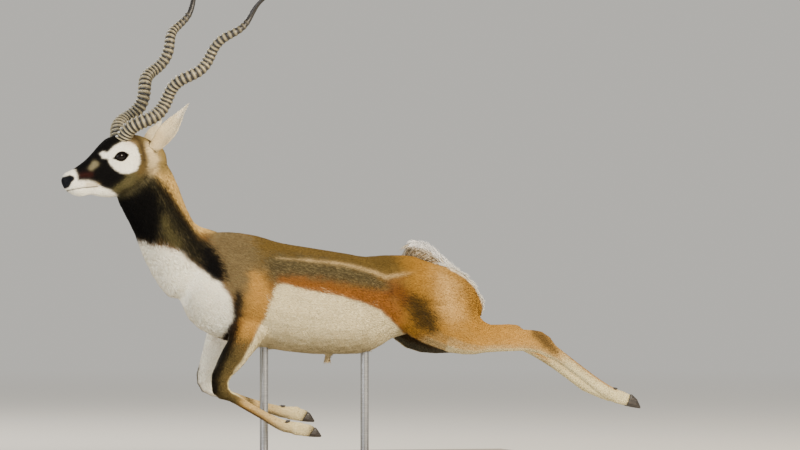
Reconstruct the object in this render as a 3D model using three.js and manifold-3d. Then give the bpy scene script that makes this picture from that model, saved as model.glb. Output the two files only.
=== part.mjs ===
// A leaping male blackbuck, life size, as a still museum model on a plain display stand.
// Millimetres, +Z up. The animal faces -X and its left side faces -Y. The origin is the middle of
// the underside of the stand's base.
import * as THREE from 'three';
import Module from 'manifold-3d';

const wasm = await Module();
wasm.setup();

// Driving dimensions
const GAP = 0.3;                      // clearance between two nodes that meet
const TRUNK = { rings: 34, sides: 24 };
const NECK = { rings: 13, sides: 24 };
const HEAD = { rings: 29, sides: 28, pitch: 19, turn: 8, roll: 3, poll: [-457, 0, 810] };
const EYE = { radius: 19, f: 96, u: 16.5, side: 35.5, lid: 2, sunk: 8, opening: 18, high: 0.62, slant: 6 };
const EAR = {
  length: 148, wall: 2.6, cup: 15, f: 0, u: 4, side: 36, rings: 11, sides: 14,
  left: { back: 69, out: 60, up: 112 },
  right: { back: 84, out: 90, up: 72 },
};
const earHalfWidth = smoothCurve([0, 0.2, 0.42, 0.62, 0.82, 1], [13, 21, 23.5, 17, 7.5, 1.4]);
const HORN = {
  f: 73, u: 46.6, side: 28, sunk: 6, rings: 32, sides: 9, crest: 1.7, coil: 12.7, coilTip: 5.7,
  smoothFrom: 0.79, turns: 3.3, tighten: 0.4, start: -0.3,
  left: { back: 373, out: 170, up: 409 },
  right: { back: 328, out: 170, up: 436 },
};
const hornRadius = smoothCurve([0, 0.31, 0.52, 0.66, 0.79, 0.92, 1], [20, 16.6, 15, 12.4, 8.2, 4.8, 1.5]);
const LEG = { rings: 26, sides: 12 };
const CLAW = { half: 8.4, deep: 18.4, heel: 0.7, gap: 1.2 };
const DEWCLAW = { length: 12, radius: 5.6, apart: 9 };
const TAIL = { locks: 22, lockLength: 44, lockWidth: 15, lockThick: 3.6, seed: 7 };
const TUFT = { x: 22, z: 287, length: 26, locks: 5, seed: 3 };
const STAND = { long: 1100, wide: 440, thick: 24, edge: 3, sunk: 14 };
const ROD = { radius: 11, sides: 16, top: 330, places: { front: [-150, 0], rear: [120, 0] } };
const CUTS = {
  neck: { at: [-372, 0, 545], along: [-0.78, 0, 0.625] },
  head: { at: [-500, 0, 745], along: [-0.7, 0, 0.71] },
};

// A repeatable random number between 0 and 1
function randomSource(seed) {
  let state = seed;
  return () => {
    state = (state * 1664525 + 1013904223) % 4294967296;
    return state / 4294967296;
  };
}

// Closed bodies and the joining of them
function solidFrom(points, faces) {
  const build = (triangles) => new wasm.Manifold(new wasm.Mesh({
    numProp: 3,
    vertProperties: new Float32Array(points.flatMap((p) => [p.x, p.y, p.z])),
    triVerts: new Uint32Array(triangles.flat()),
  }));
  const body = build(faces);
  return body.volume() > 0 ? body : build(faces.map(([a, b, c]) => [a, c, b]));
}

function largest(body) {
  const pieces = body.decompose();
  return pieces.reduce((best, piece) => (piece.volume() > best.volume() ? piece : best));
}

function join(...bodies) {
  return bodies.reduce((sum, body) => sum.add(body));
}

// Cuts a body at a plane and keeps the side that the normal points to, less half the gap
function keepSide(body, point, normal) {
  const n = normal.clone().normalize();
  return body.trimByPlane([n.x, n.y, n.z], n.dot(point) + GAP / 2);
}

function splitAt(body, point, normal) {
  return [keepSide(body, point, normal), keepSide(body, point, normal.clone().negate())];
}

// Skins rings of points into one closed body, with a point closing each end
function skinRings(rings, first, last) {
  const sides = rings[0].length;
  const points = [first, ...rings.flat(), last];
  const end = points.length - 1;
  const at = (ring, side) => 1 + ring * sides + (side % sides);
  const faces = [];
  for (let k = 0; k < sides; k += 1) {
    faces.push([0, at(0, k + 1), at(0, k)]);
    faces.push([end, at(rings.length - 1, k), at(rings.length - 1, k + 1)]);
  }
  for (let r = 0; r + 1 < rings.length; r += 1) {
    for (let k = 0; k < sides; k += 1) {
      faces.push([at(r, k), at(r, k + 1), at(r + 1, k + 1)]);
      faces.push([at(r, k), at(r + 1, k + 1), at(r + 1, k)]);
    }
  }
  return solidFrom(points, faces);
}

// A curve through values that never overshoots them
function smoothCurve(places, values) {
  const last = places.length - 1;
  const slope = values.slice(1).map((v, i) => (v - values[i]) / (places[i + 1] - places[i]));
  const tangent = values.map((_, i) => {
    if (i === 0) return slope[0];
    if (i === last) return slope[last - 1];
    if (slope[i - 1] * slope[i] <= 0) return 0;
    return 2 * slope[i - 1] * slope[i] / (slope[i - 1] + slope[i]);
  });
  return (place) => {
    let i = 0;
    while (i < last - 1 && place > places[i + 1]) i += 1;
    const span = places[i + 1] - places[i];
    const t = Math.min(1, Math.max(0, (place - places[i]) / span));
    const t2 = t * t;
    const t3 = t2 * t;
    return values[i] * (2 * t3 - 3 * t2 + 1) + tangent[i] * span * (t3 - 2 * t2 + t)
      + values[i + 1] * (3 * t2 - 2 * t3) + tangent[i + 1] * span * (t3 - t2);
  };
}

// A body lofted through stations. A station has the two edges of its section in the body's middle
// plane, upper or front (a) and lower or rear (b), its half width, and may have its own side
// place y, roundness n (2 is an ellipse) and height of the widest line m (0 at a, 1 at b).
function loft(stations, {
  rings, sides, dome = [0.6, 0.6], caps = [0.4, 0.8], y = 0, n = 2.2, m = 0.5,
  shape = null, place = null, grow = 0,
}) {
  const full = stations.map((s) => ({ y, n, m, ...s }));
  const mids = full.map((s) => new THREE.Vector2((s.a[0] + s.b[0]) / 2, (s.a[1] + s.b[1]) / 2));
  const along = [0];
  for (let i = 1; i < mids.length; i += 1) along.push(along[i - 1] + mids[i].distanceTo(mids[i - 1]) + 1e-3);
  const curve = (get) => smoothCurve(along, full.map(get));
  const value = {
    ax: curve((s) => s.a[0]), az: curve((s) => s.a[1]), bx: curve((s) => s.b[0]), bz: curve((s) => s.b[1]),
    half: curve((s) => s.half), y: curve((s) => s.y), n: curve((s) => s.n), m: curve((s) => s.m),
  };
  const total = along[along.length - 1];
  const section = (t) => Object.fromEntries(Object.entries(value).map(([key, get]) => [key, get(t)]));
  const ringOf = (s, scale, slide) => {
    const middle = new THREE.Vector2(s.ax + (s.bx - s.ax) * s.m, s.az + (s.bz - s.az) * s.m);
    const points = [];
    for (let k = 0; k < sides; k += 1) {
      const angle = 2 * Math.PI * (k + 0.5) / sides;
      const across = Math.sign(Math.cos(angle)) * Math.abs(Math.cos(angle)) ** (2 / s.n) * scale;
      const lift = Math.sign(Math.sin(angle)) * Math.abs(Math.sin(angle)) ** (2 / s.n) * scale;
      const edge = lift > 0 ? [s.ax, s.az] : [s.bx, s.bz];
      const point = new THREE.Vector3(
        middle.x + (edge[0] - middle.x) * Math.abs(lift) + slide.x,
        s.y + across * s.half,
        middle.y + (edge[1] - middle.y) * Math.abs(lift) + slide.y,
      );
      if (shape) shape(point, across, lift);
      const inside = new THREE.Vector3(middle.x + slide.x, s.y, middle.y + slide.y);
      const out = point.clone().sub(inside);
      if (grow) point.addScaledVector(out.normalize(), grow);
      points.push(point);
    }
    return points;
  };
  // Rounded ends: shrinking rings slid along the loft's own direction
  const endRings = (t, depth, sign) => {
    const s = section(t);
    const near = section(t - sign * total * 0.02);
    const heading = new THREE.Vector2(
      (s.ax + s.bx - near.ax - near.bx) / 2, (s.az + s.bz - near.az - near.bz) / 2,
    ).normalize();
    const deep = depth * Math.hypot(s.ax - s.bx, s.az - s.bz) / 2;
    const made = caps.map((q) => ringOf(s, Math.sqrt(1 - q * q), heading.clone().multiplyScalar(deep * q)));
    const tip = ringOf(s, 0.001, heading.clone().multiplyScalar(deep))[0];
    return { made, tip };
  };
  const body = [];
  for (let r = 0; r < rings; r += 1) {
    body.push(ringOf(section(total * r / (rings - 1)), 1, new THREE.Vector2()));
  }
  const start = endRings(0, dome[0], -1);
  const finish = endRings(total, dome[1], 1);
  const all = [...start.made.reverse(), ...body, ...finish.made];
  const move = (p) => (place ? p.applyMatrix4(place) : p);
  return skinRings(all.map((ring) => ring.map(move)), move(start.tip), move(finish.tip));
}

// Muscle and bone: soft swellings (or hollows) that push a loft's sides out (or in)
function swell(list) {
  return (point, across) => {
    for (const s of list) {
      const turn = THREE.MathUtils.degToRad(s.turn || 0);
      const dx = point.x - s.x;
      const dz = point.z - s.z;
      const u = (dx * Math.cos(turn) + dz * Math.sin(turn)) / s.long;
      const v = (-dx * Math.sin(turn) + dz * Math.cos(turn)) / s.deep;
      point.y += Math.sign(across) * Math.min(1, Math.abs(across) * 2) * s.by * Math.exp(-(u * u + v * v));
    }
  };
}

// The trunk, from the chest to the rump
const trunkStations = [
  { a: [-394, 512], b: [-374, 424], half: 38 },
  { a: [-362, 575], b: [-345, 366], half: 62 },
  { a: [-318, 600], b: [-298, 334], half: 76, m: 0.48 },
  { a: [-255, 601], b: [-240, 313], half: 90, m: 0.52 },
  { a: [-187, 594], b: [-165, 300], half: 102, m: 0.56 },
  { a: [-110, 573], b: [-73, 285], half: 112, m: 0.58 },
  { a: [-14, 557], b: [5, 279], half: 116, m: 0.58 },
  { a: [60, 545], b: [84, 279], half: 112, m: 0.56 },
  { a: [124, 535], b: [144, 292], half: 98, m: 0.5 },
  { a: [176, 538], b: [190, 318], half: 88, m: 0.46 },
  { a: [232, 538], b: [236, 330], half: 90, m: 0.45 },
  { a: [290, 520], b: [290, 332], half: 92, m: 0.45 },
  { a: [350, 506], b: [345, 335], half: 88, m: 0.48 },
  { a: [400, 472], b: [385, 345], half: 74, m: 0.5 },
  { a: [424, 434], b: [412, 360], half: 52, m: 0.5 },
];
const trunkSwells = [
  { x: -255, z: 500, long: 46, deep: 90, turn: 14, by: 7 },
  { x: -205, z: 430, long: 52, deep: 60, by: 8 },
  { x: -322, z: 455, long: 30, deep: 46, by: 8 },
  { x: -20, z: 400, long: 120, deep: 80, by: 4 },
  { x: 150, z: 420, long: 50, deep: 62, turn: -20, by: -9 },
  { x: 208, z: 505, long: 24, deep: 22, by: 8 },
  { x: 300, z: 430, long: 66, deep: 60, by: 12 },
  { x: 395, z: 400, long: 26, deep: 40, by: 6 },
];

// The neck, from inside the shoulders to behind the jaw
const neckStations = [
  { a: [-225, 575], b: [-352, 420], half: 66 },
  { a: [-285, 604], b: [-404, 430], half: 66 },
  { a: [-331, 620], b: [-440, 474], half: 62 },
  { a: [-350, 646], b: [-472, 534], half: 58 },
  { a: [-369, 690], b: [-495, 592], half: 54 },
  { a: [-384, 730], b: [-516, 634], half: 51 },
  { a: [-410, 778], b: [-534, 668], half: 49 },
  { a: [-436, 815], b: [-545, 696], half: 47 },
  { a: [-462, 832], b: [-540, 740], half: 42 },
];

// The head in its own frame: f runs from the poll to the nose, u runs up, y is to the right side
const headStations = [
  { a: [-22, 8], b: [-16, -60], half: 36 },
  { a: [0, 36], b: [18, -82], half: 43, m: 0.45 },
  { a: [28, 55], b: [44, -92], half: 47, m: 0.42 },
  { a: [62, 64], b: [72, -94], half: 48, m: 0.4 },
  { a: [94, 70], b: [98, -89], half: 47.5, m: 0.4 },
  { a: [120, 62], b: [122, -83], half: 42.5, m: 0.42 },
  { a: [146, 49], b: [147, -77], half: 35, m: 0.42 },
  { a: [170, 38], b: [172, -65], half: 29.5, m: 0.42 },
  { a: [196, 30], b: [196, -52], half: 25, m: 0.42 },
  { a: [220, 25], b: [216, -50], half: 23, m: 0.45 },
  { a: [236, 24], b: [231, -43], half: 21.5, m: 0.48 },
  { a: [246, 21], b: [241, -34], half: 18.5, m: 0.5 },
  { a: [252, 14], b: [247, -27], half: 13, m: 0.5 },
];
const headSwells = [
  { x: 97, z: 19, long: 32, deep: 22, by: 8 },
  { x: 62, z: -42, long: 36, deep: 30, by: 4 },
  { x: 148, z: -2, long: 30, deep: 13, by: 2.5 },
  { x: 128, z: 8, long: 12, deep: 10, by: -3.5 },
  { x: 170, z: -40, long: 40, deep: 12, by: -3 },
  { x: 238, z: 6, long: 12, deep: 12, by: 2.5 },
  { x: 226, z: -20, long: 26, deep: 6, by: 1.6 },
  { x: 226, z: -34, long: 20, deep: 6, by: 1.6 },
];

// The head's frame: columns are forward, to the animal's right, and up
function headFrame() {
  const pitch = THREE.MathUtils.degToRad(HEAD.pitch);
  const turn = THREE.MathUtils.degToRad(HEAD.turn);
  const roll = THREE.MathUtils.degToRad(HEAD.roll);
  const level = new THREE.Vector3(-Math.cos(turn), -Math.sin(turn), 0);
  const forward = level.clone().multiplyScalar(Math.cos(pitch)).setZ(-Math.sin(pitch));
  const up = level.clone().multiplyScalar(Math.sin(pitch)).setZ(Math.cos(pitch));
  const right = new THREE.Vector3().crossVectors(forward, up);
  const tiltedUp = up.clone().applyAxisAngle(forward, roll);
  const tiltedRight = right.clone().applyAxisAngle(forward, roll);
  return new THREE.Matrix4().makeBasis(forward, tiltedRight, tiltedUp)
    .setPosition(new THREE.Vector3(...HEAD.poll));
}
const headPlace = headFrame();
const inHead = (f, side, u) => new THREE.Vector3(f, side, u).applyMatrix4(headPlace);
const headDirection = (f, side, u) => new THREE.Vector3(f, side, u).transformDirection(headPlace);

// A ball or egg from rings round an axis
function ball(centre, radii, around, up, place = new THREE.Matrix4()) {
  const rings = [];
  for (let r = 1; r < up; r += 1) {
    const tilt = Math.PI * r / up;
    const ring = [];
    for (let k = 0; k < around; k += 1) {
      const angle = 2 * Math.PI * k / around;
      ring.push(new THREE.Vector3(
        centre[0] + radii[0] * Math.sin(tilt) * Math.cos(angle),
        centre[1] + radii[1] * Math.cos(tilt),
        centre[2] + radii[2] * Math.sin(tilt) * Math.sin(angle),
      ).applyMatrix4(place));
    }
    rings.push(ring);
  }
  const top = new THREE.Vector3(centre[0], centre[1] + radii[1], centre[2]).applyMatrix4(place);
  const foot = new THREE.Vector3(centre[0], centre[1] - radii[1], centre[2]).applyMatrix4(place);
  return skinRings(rings, top, foot);
}

// The almond between the lids, as a straight plug through the side of the head
function lidOpening(sign) {
  const rings = [0, 1].map((end) => {
    const ring = [];
    const sides = 14;
    for (let k = 0; k < sides; k += 1) {
      const angle = 2 * Math.PI * k / sides;
      const x = Math.cos(angle) * EYE.opening;
      const z = Math.sin(angle) * EYE.opening * EYE.high * (1 - 0.25 * Math.cos(angle)) + 0.4;
      const slant = THREE.MathUtils.degToRad(EYE.slant);
      ring.push(new THREE.Vector3(
        EYE.f + x * Math.cos(slant) + z * Math.sin(-slant),
        sign * (EYE.side + EYE.sunk + end * 30),
        EYE.u + x * Math.sin(slant) + z * Math.cos(slant),
      ).applyMatrix4(headPlace));
    }
    return ring;
  });
  const centre = (y) => inHead(EYE.f, sign * y, EYE.u);
  return skinRings(rings, centre(EYE.side + EYE.sunk), centre(EYE.side + EYE.sunk + 30));
}

// The line of the mouth: a thin curved wedge cut into the lips all round the muzzle
function mouthCut() {
  const line = [
    { a: [174, -37.5], b: [174, -38.5], half: 36 },
    { a: [190, -32.6], b: [190, -34.8], half: 34 },
    { a: [213, -26], b: [213, -29], half: 30 },
    { a: [235, -22], b: [235, -25], half: 28 },
    { a: [266, -18], b: [266, -21], half: 24 },
  ];
  const plate = loft(line, { rings: 7, sides: 8, dome: [0.1, 0.1], caps: [0.7], n: 6, place: headPlace });
  const core = headStations.filter((s) => s.a[0] > 150).map((s) => ({
    ...s, a: [s.a[0] - 5, s.a[1]], b: [s.b[0] - 5, s.b[1]], half: s.half - 3.6,
  }));
  return plate.subtract(loft(core, { rings: 12, sides: 20, dome: [0.2, 0.1], place: headPlace }));
}

// A nostril: a comma that sinks into the side of the nose
function nostril(sign) {
  const comma = [[252, 11.5, -2], [248, 16, 4.5], [241, 20, 8], [233, 21.5, 6]];
  const curve = new THREE.CatmullRomCurve3(comma.map(([f, y, u]) => new THREE.Vector3(f, sign * y, u)));
  const rings = [];
  for (let r = 0; r <= 7; r += 1) {
    const t = r / 7;
    const at = curve.getPoint(t);
    const along = curve.getTangent(t);
    const across = new THREE.Vector3().crossVectors(along, new THREE.Vector3(0, sign, 0)).normalize();
    const inward = new THREE.Vector3().crossVectors(along, across).normalize();
    const half = 0.8 + 2.7 * Math.sin(Math.PI * Math.min(1, 0.15 + 0.85 * t)) ** 0.8;
    const ring = [];
    for (let k = 0; k < 8; k += 1) {
      const angle = 2 * Math.PI * k / 8;
      ring.push(at.clone().addScaledVector(across, half * Math.cos(angle))
        .addScaledVector(inward, 4.5 * Math.sin(angle)).applyMatrix4(headPlace));
    }
    rings.push(ring);
  }
  const ends = [0, 1].map((t) => curve.getPoint(t).applyMatrix4(headPlace));
  return skinRings(rings, ...ends);
}

// An ear: a long pointed leaf, cupped along its length, open to the front and side
function ear(sign, aim) {
  const tilt = aim.clone().normalize();
  const base = inHead(EAR.f, sign * EAR.side, EAR.u);
  const outward = headDirection(0.62, sign * 0.78, 0.05);
  const cupDepth = outward.clone().addScaledVector(tilt, -outward.dot(tilt)).normalize();
  const across = new THREE.Vector3().crossVectors(tilt, cupDepth).normalize();
  const rings = [];
  for (let r = 0; r <= EAR.rings; r += 1) {
    const t = r / EAR.rings;
    const wide = earHalfWidth(t);
    const cup = EAR.cup * (1 - 0.75 * t) * Math.min(1, 0.25 + t * 3);
    const wall = EAR.wall * (1 - 0.6 * t) + (t < 0.12 ? 7 * (0.12 - t) / 0.12 : 0);
    const centre = base.clone().addScaledVector(tilt, EAR.length * t)
      .addScaledVector(cupDepth, -7 * Math.sin(Math.PI * t));
    const half = EAR.sides / 2;
    const ring = [];
    for (let k = 0; k < EAR.sides; k += 1) {
      const inner = k >= half;
      const q = inner ? (EAR.sides - 1 - k) / (half - 1) : k / (half - 1);
      const swing = (q - 0.5) * 2;
      const depth = cup * (swing * swing - 0.55) + (inner ? wall : 0);
      const edge = inner ? 0.94 : 1;
      ring.push(centre.clone().addScaledVector(across, wide * swing * edge)
        .addScaledVector(cupDepth, depth));
    }
    rings.push(ring);
  }
  const tip = base.clone().addScaledVector(tilt, EAR.length + 3);
  const root = base.clone().addScaledVector(tilt, -1);
  return skinRings(rings, root, tip);
}

// A horn: a ringed corkscrew, thick at the base and smooth at the tip. The left one turns like a
// right-handed screw and the right one is its mirror.
function horn(side, sign) {
  const base = inHead(HORN.f, sign * HORN.side, HORN.u);
  const { back, out, up } = HORN[side];
  const level = headDirection(1, 0, 0).setZ(0).normalize();
  const right = level.clone().cross(new THREE.Vector3(0, 0, 1));
  const line = level.clone().multiplyScalar(-back).addScaledVector(right, sign * out)
    .add(new THREE.Vector3(0, 0, up));
  const axis = line.clone().normalize();
  const under = right.clone().cross(axis).normalize();
  if (under.dot(level) > 0) under.negate();
  const beside = axis.clone().cross(under);
  const centreAt = (t) => {
    const angle = 2 * Math.PI * (HORN.turns * t + HORN.tighten * t * t + HORN.start);
    const coil = HORN.coil + (HORN.coilTip - HORN.coil) * t;
    return base.clone().addScaledVector(axis, line.length() * t - HORN.sunk)
      .addScaledVector(under, -coil * Math.cos(angle))
      .addScaledVector(beside, sign * coil * Math.sin(angle));
  };
  const sections = [];
  for (let r = 0; r < HORN.rings; r += 1) {
    const here = HORN.smoothFrom * (r / HORN.rings) ** 1.12;
    const next = HORN.smoothFrom * ((r + 1) / HORN.rings) ** 1.12;
    sections.push({ t: here, crest: -1 }, { t: here + (next - here) * 0.55, crest: 1 });
  }
  const smooth = [0, 0.25, 0.5, 0.75, 0.95].map((q) => HORN.smoothFrom + (1 - HORN.smoothFrom) * q);
  smooth.forEach((t, i) => sections.push({ t, crest: i === 0 ? -0.5 : 0 }));
  const rings = sections.map(({ t, crest }) => {
    const centre = centreAt(t);
    const along = centreAt(t + 0.004).sub(centreAt(t - 0.004)).normalize();
    const u = along.clone().cross(right).normalize();
    const v = along.clone().cross(u).normalize();
    const radius = hornRadius(t) + crest * HORN.crest * (1.15 - t);
    return Array.from({ length: HORN.sides }, (_, k) => {
      const angle = 2 * Math.PI * k / HORN.sides;
      const across = u.clone().multiplyScalar(radius * Math.cos(angle));
      return centre.clone().add(across).addScaledVector(v, radius * Math.sin(angle));
    });
  });
  return skinRings(rings, centreAt(-0.002), centreAt(1));
}

// Legs. Each is a loft from inside the body to the fetlock and on to the pastern.
const foreNear = {
  side: -1,
  y: -62,
  stations: [
    { a: [-258, 420], b: [-110, 430], half: 26, y: -58 },
    { a: [-262, 375], b: [-118, 372], half: 28, y: -60 },
    { a: [-262, 330], b: [-160, 323], half: 28, y: -64 },
    { a: [-281, 290], b: [-196, 287], half: 25, y: -66 },
    { a: [-297, 256], b: [-226, 250], half: 21.5, y: -66 },
    { a: [-308, 224], b: [-256, 222], half: 18.5, y: -65 },
    { a: [-308, 195], b: [-263, 206], half: 18, y: -64 },
    { a: [-293, 171], b: [-254, 188], half: 17, y: -63 },
    { a: [-262, 162], b: [-240, 182], half: 14, y: -62 },
    { a: [-222, 141], b: [-209, 162], half: 12.5, y: -61 },
    { a: [-176, 115], b: [-163, 136], half: 12.5, y: -60 },
    { a: [-140, 93], b: [-124, 118], half: 15, y: -60 },
    { a: [-119, 82], b: [-103, 111], half: 17, y: -60 },
    { a: [-96, 77], b: [-84, 108], half: 16, y: -60 },
    { a: [-73, 72], b: [-65, 106], half: 16.5, y: -60 },
  ],
  cut: { at: [-238, 294], toward: [-0.55, -0.84] },
  coronet: { at: [-42, 80], along: [0.83, -0.55] },
  toe: { from: [-84, 90], to: [-12, 71] },
  dew: { at: [-108, 107], along: [0.93, 0.37] },
};
const foreFar = {
  side: 1,
  y: 62,
  stations: [
    { a: [-262, 430], b: [-112, 436], half: 26, y: 58 },
    { a: [-275, 385], b: [-122, 380], half: 28, y: 60 },
    { a: [-288, 335], b: [-176, 328], half: 28, y: 64 },
    { a: [-297, 293], b: [-206, 290], half: 25, y: 66 },
    { a: [-308, 252], b: [-240, 250], half: 21.5, y: 66 },
    { a: [-315, 222], b: [-264, 226], half: 18.5, y: 65 },
    { a: [-310, 196], b: [-265, 212], half: 18, y: 64 },
    { a: [-286, 175], b: [-256, 198], half: 17, y: 63 },
    { a: [-256, 168], b: [-240, 192], half: 14, y: 62 },
    { a: [-212, 154], b: [-203, 178], half: 12.5, y: 61 },
    { a: [-160, 137], b: [-152, 161], half: 12.5, y: 60 },
    { a: [-118, 124], b: [-110, 150], half: 15, y: 60 },
    { a: [-92, 115], b: [-84, 145], half: 17, y: 60 },
    { a: [-68, 111], b: [-60, 144], half: 16, y: 60 },
    { a: [-52, 109], b: [-44, 144], half: 16.5, y: 60 },
  ],
  cut: { at: [-252, 297], toward: [-0.45, -0.89] },
  coronet: { at: [-28, 117], along: [0.83, -0.55] },
  toe: { from: [-68, 127], to: [2, 106] },
  dew: { at: [-89, 142], along: [0.93, 0.37] },
};
const hindNear = {
  side: -1,
  y: -66,
  stations: [
    { a: [250, 440], b: [345, 468], half: 24, y: -36 },
    { a: [205, 410], b: [385, 462], half: 42, y: -50 },
    { a: [186, 372], b: [405, 420], half: 46, y: -54 },
    { a: [222, 326], b: [413, 385], half: 46, y: -57 },
    { a: [288, 298], b: [424, 368], half: 41, y: -60 },
    { a: [340, 281], b: [440, 359], half: 34, y: -63 },
    { a: [388, 277], b: [468, 351], half: 27.5, y: -66 },
    { a: [431, 283], b: [497, 347], half: 22.5, y: -68 },
    { a: [484, 285], b: [530, 344], half: 18.5, y: -68 },
    { a: [530, 286], b: [566, 342], half: 16, y: -68 },
    { a: [560, 282], b: [594, 330], half: 15.5, y: -68 },
    { a: [590, 271], b: [618, 301], half: 15, y: -68 },
    { a: [622, 256], b: [645, 280], half: 13, y: -68 },
    { a: [662, 227], b: [682, 252], half: 12, y: -68 },
    { a: [704, 196], b: [723, 222], half: 12, y: -68 },
    { a: [732, 172], b: [751, 203], half: 14.5, y: -68 },
    { a: [752, 160], b: [775, 190], half: 16.5, y: -68 },
    { a: [768, 153], b: [786, 184], half: 16, y: -68 },
    { a: [786, 147], b: [802, 180], half: 16.5, y: -68 },
  ],
  cut: { at: [378, 322], toward: [0.82, -0.57] },
  coronet: { at: [811, 158], along: [0.93, -0.37] },
  toe: { from: [780, 167], to: [847, 138] },
  dew: { at: [771, 186], along: [0.98, 0.18] },
};
const hindFar = {
  side: 1,
  y: 66,
  stations: [
    { a: [250, 440], b: [345, 468], half: 24, y: 36 },
    { a: [205, 410], b: [385, 462], half: 42, y: 50 },
    { a: [186, 362], b: [405, 420], half: 46, y: 54 },
    { a: [212, 316], b: [413, 385], half: 46, y: 57 },
    { a: [276, 282], b: [424, 368], half: 41, y: 60 },
    { a: [340, 277], b: [440, 360], half: 34, y: 63 },
    { a: [392, 283], b: [462, 354], half: 27.5, y: 66 },
    { a: [434, 291], b: [488, 354], half: 22.5, y: 66 },
    { a: [476, 296], b: [514, 354], half: 18.5, y: 66 },
    { a: [508, 298], b: [538, 356], half: 16, y: 66 },
    { a: [535, 295], b: [566, 344], half: 15.5, y: 66 },
    { a: [562, 284], b: [592, 312], half: 15, y: 66 },
    { a: [594, 268], b: [616, 290], half: 13, y: 66 },
    { a: [640, 240], b: [658, 264], half: 12, y: 66 },
    { a: [692, 203], b: [710, 229], half: 12, y: 66 },
    { a: [728, 177], b: [745, 208], half: 14.5, y: 66 },
    { a: [752, 167], b: [770, 197], half: 16.5, y: 66 },
    { a: [774, 158], b: [790, 191], half: 16, y: 66 },
    { a: [796, 150], b: [811, 185], half: 16.5, y: 66 },
  ],
  cut: { at: [378, 322], toward: [0.82, -0.57] },
  coronet: { at: [826, 160], along: [0.93, -0.37] },
  toe: { from: [790, 172], to: [864, 140] },
  dew: { at: [767, 193], along: [0.98, 0.18] },
};

// One of a foot's two claws: a steep wall in front, a full heel behind, pointed at the toe
function claw(leg, inner) {
  const { from, to } = leg.toe;
  const heading = new THREE.Vector2(to[0] - from[0], to[1] - from[1]);
  const long = heading.length();
  heading.normalize();
  const lift = new THREE.Vector2(-heading.y, heading.x);
  const profile = [
    { t: 0, wall: 0.95, heel: 1.3, half: 0.9 },
    { t: 0.28, wall: 0.86, heel: 1.56, half: 1 },
    { t: 0.55, wall: 0.68, heel: 1.66, half: 1 },
    { t: 0.8, wall: 0.45, heel: 0.92, half: 0.76 },
    { t: 0.97, wall: 0.25, heel: 0.04, half: 0.36 },
  ];
  const middle = leg.y + inner * (CLAW.half + CLAW.gap / 2);
  // All four feet are thrown back, so the front of each hoof faces down
  const stations = profile.map((p) => {
    const x = from[0] + heading.x * long * p.t;
    const z = from[1] + heading.y * long * p.t;
    return {
      a: [x - lift.x * CLAW.deep * p.wall, z - lift.y * CLAW.deep * p.wall],
      b: [x + lift.x * CLAW.deep * p.heel * CLAW.heel, z + lift.y * CLAW.deep * p.heel * CLAW.heel],
      half: CLAW.half * p.half,
      y: middle - inner * CLAW.half * (1 - p.half) * 0.55,
    };
  });
  return loft(stations, { rings: 5, sides: 8, dome: [0.3, 0.25], caps: [0.7], n: 2.5 });
}

function dewclaw(leg, inner) {
  const at = new THREE.Vector3(leg.dew.at[0], leg.y + inner * DEWCLAW.apart, leg.dew.at[1]);
  const along = new THREE.Vector3(leg.dew.along[0], inner * 0.25, leg.dew.along[1]).normalize();
  const across = new THREE.Vector3().crossVectors(along, new THREE.Vector3(0, 1, 0)).normalize();
  const other = new THREE.Vector3().crossVectors(along, across);
  const rings = [-0.7, 0, 0.65].map((t) => {
    const radius = DEWCLAW.radius * (t > 0 ? Math.sqrt(1 - t * t) : 1);
    return Array.from({ length: 6 }, (_, k) => at.clone().addScaledVector(along, DEWCLAW.length * t)
      .addScaledVector(across, radius * 0.8 * Math.cos(2 * Math.PI * k / 6))
      .addScaledVector(other, radius * Math.sin(2 * Math.PI * k / 6)));
  });
  return skinRings(rings, at.clone().addScaledVector(along, -DEWCLAW.length * 0.75),
    at.clone().addScaledVector(along, DEWCLAW.length));
}

// A leg parted into the piece that stays with the trunk, the leg itself, its claws and dewclaws
function leg(spec) {
  const [whole, room] = [0, GAP].map((grow) => loft(spec.stations, {
    ...LEG, y: spec.y, dome: [0.5, 0.1], n: 2.25, grow,
  }));
  const claws = [1, -1].map((inner) => claw(spec, inner));
  const coronet = new THREE.Vector3(spec.coronet.at[0], spec.y, spec.coronet.at[1]);
  const forward = new THREE.Vector3(spec.coronet.along[0], 0, spec.coronet.along[1]);
  const shank = keepSide(whole, coronet, forward.clone().negate());
  const stubs = claws.map((c) => keepSide(c, coronet, forward.clone().negate()));
  const hooves = claws.map((c) => largest(keepSide(c, coronet, forward)));
  const dewTips = [1, -1].map((inner) => largest(dewclaw(spec, inner).subtract(room)));
  const full = join(shank, ...stubs);
  const cutAt = new THREE.Vector3(spec.cut.at[0], spec.y, spec.cut.at[1]);
  const cutDirection = new THREE.Vector3(spec.cut.toward[0], 0, spec.cut.toward[1]);
  const [lower, upper] = splitAt(full, cutAt, cutDirection);
  return { upper: largest(upper), lower: largest(lower), hooves, dewTips };
}

// A flat, tapered, bending lock of hair
function lock(root, heading, droop, flat, { length, width, thick, steps = 3 }) {
  const rings = [];
  const at = (t) => {
    const straight = root.clone().addScaledVector(heading, length * t);
    return straight.addScaledVector(droop, length * 0.32 * t * t);
  };
  for (let r = 0; r <= steps; r += 1) {
    const t = r / (steps + 0.35);
    const along = at(t + 0.02).sub(at(t - 0.02)).normalize();
    const across = new THREE.Vector3().crossVectors(along, flat).normalize();
    const lift = new THREE.Vector3().crossVectors(across, along).normalize();
    const half = width / 2 * (0.75 + 0.5 * t) * (1 - t ** 2.4) + 0.5;
    const deep = thick / 2 * (1 - 0.7 * t) + 0.25;
    rings.push([
      at(t).addScaledVector(across, half), at(t).addScaledVector(lift, deep),
      at(t).addScaledVector(across, -half), at(t).addScaledVector(lift, -deep),
    ]);
  }
  return skinRings(rings, at(-0.02), at(1));
}

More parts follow.
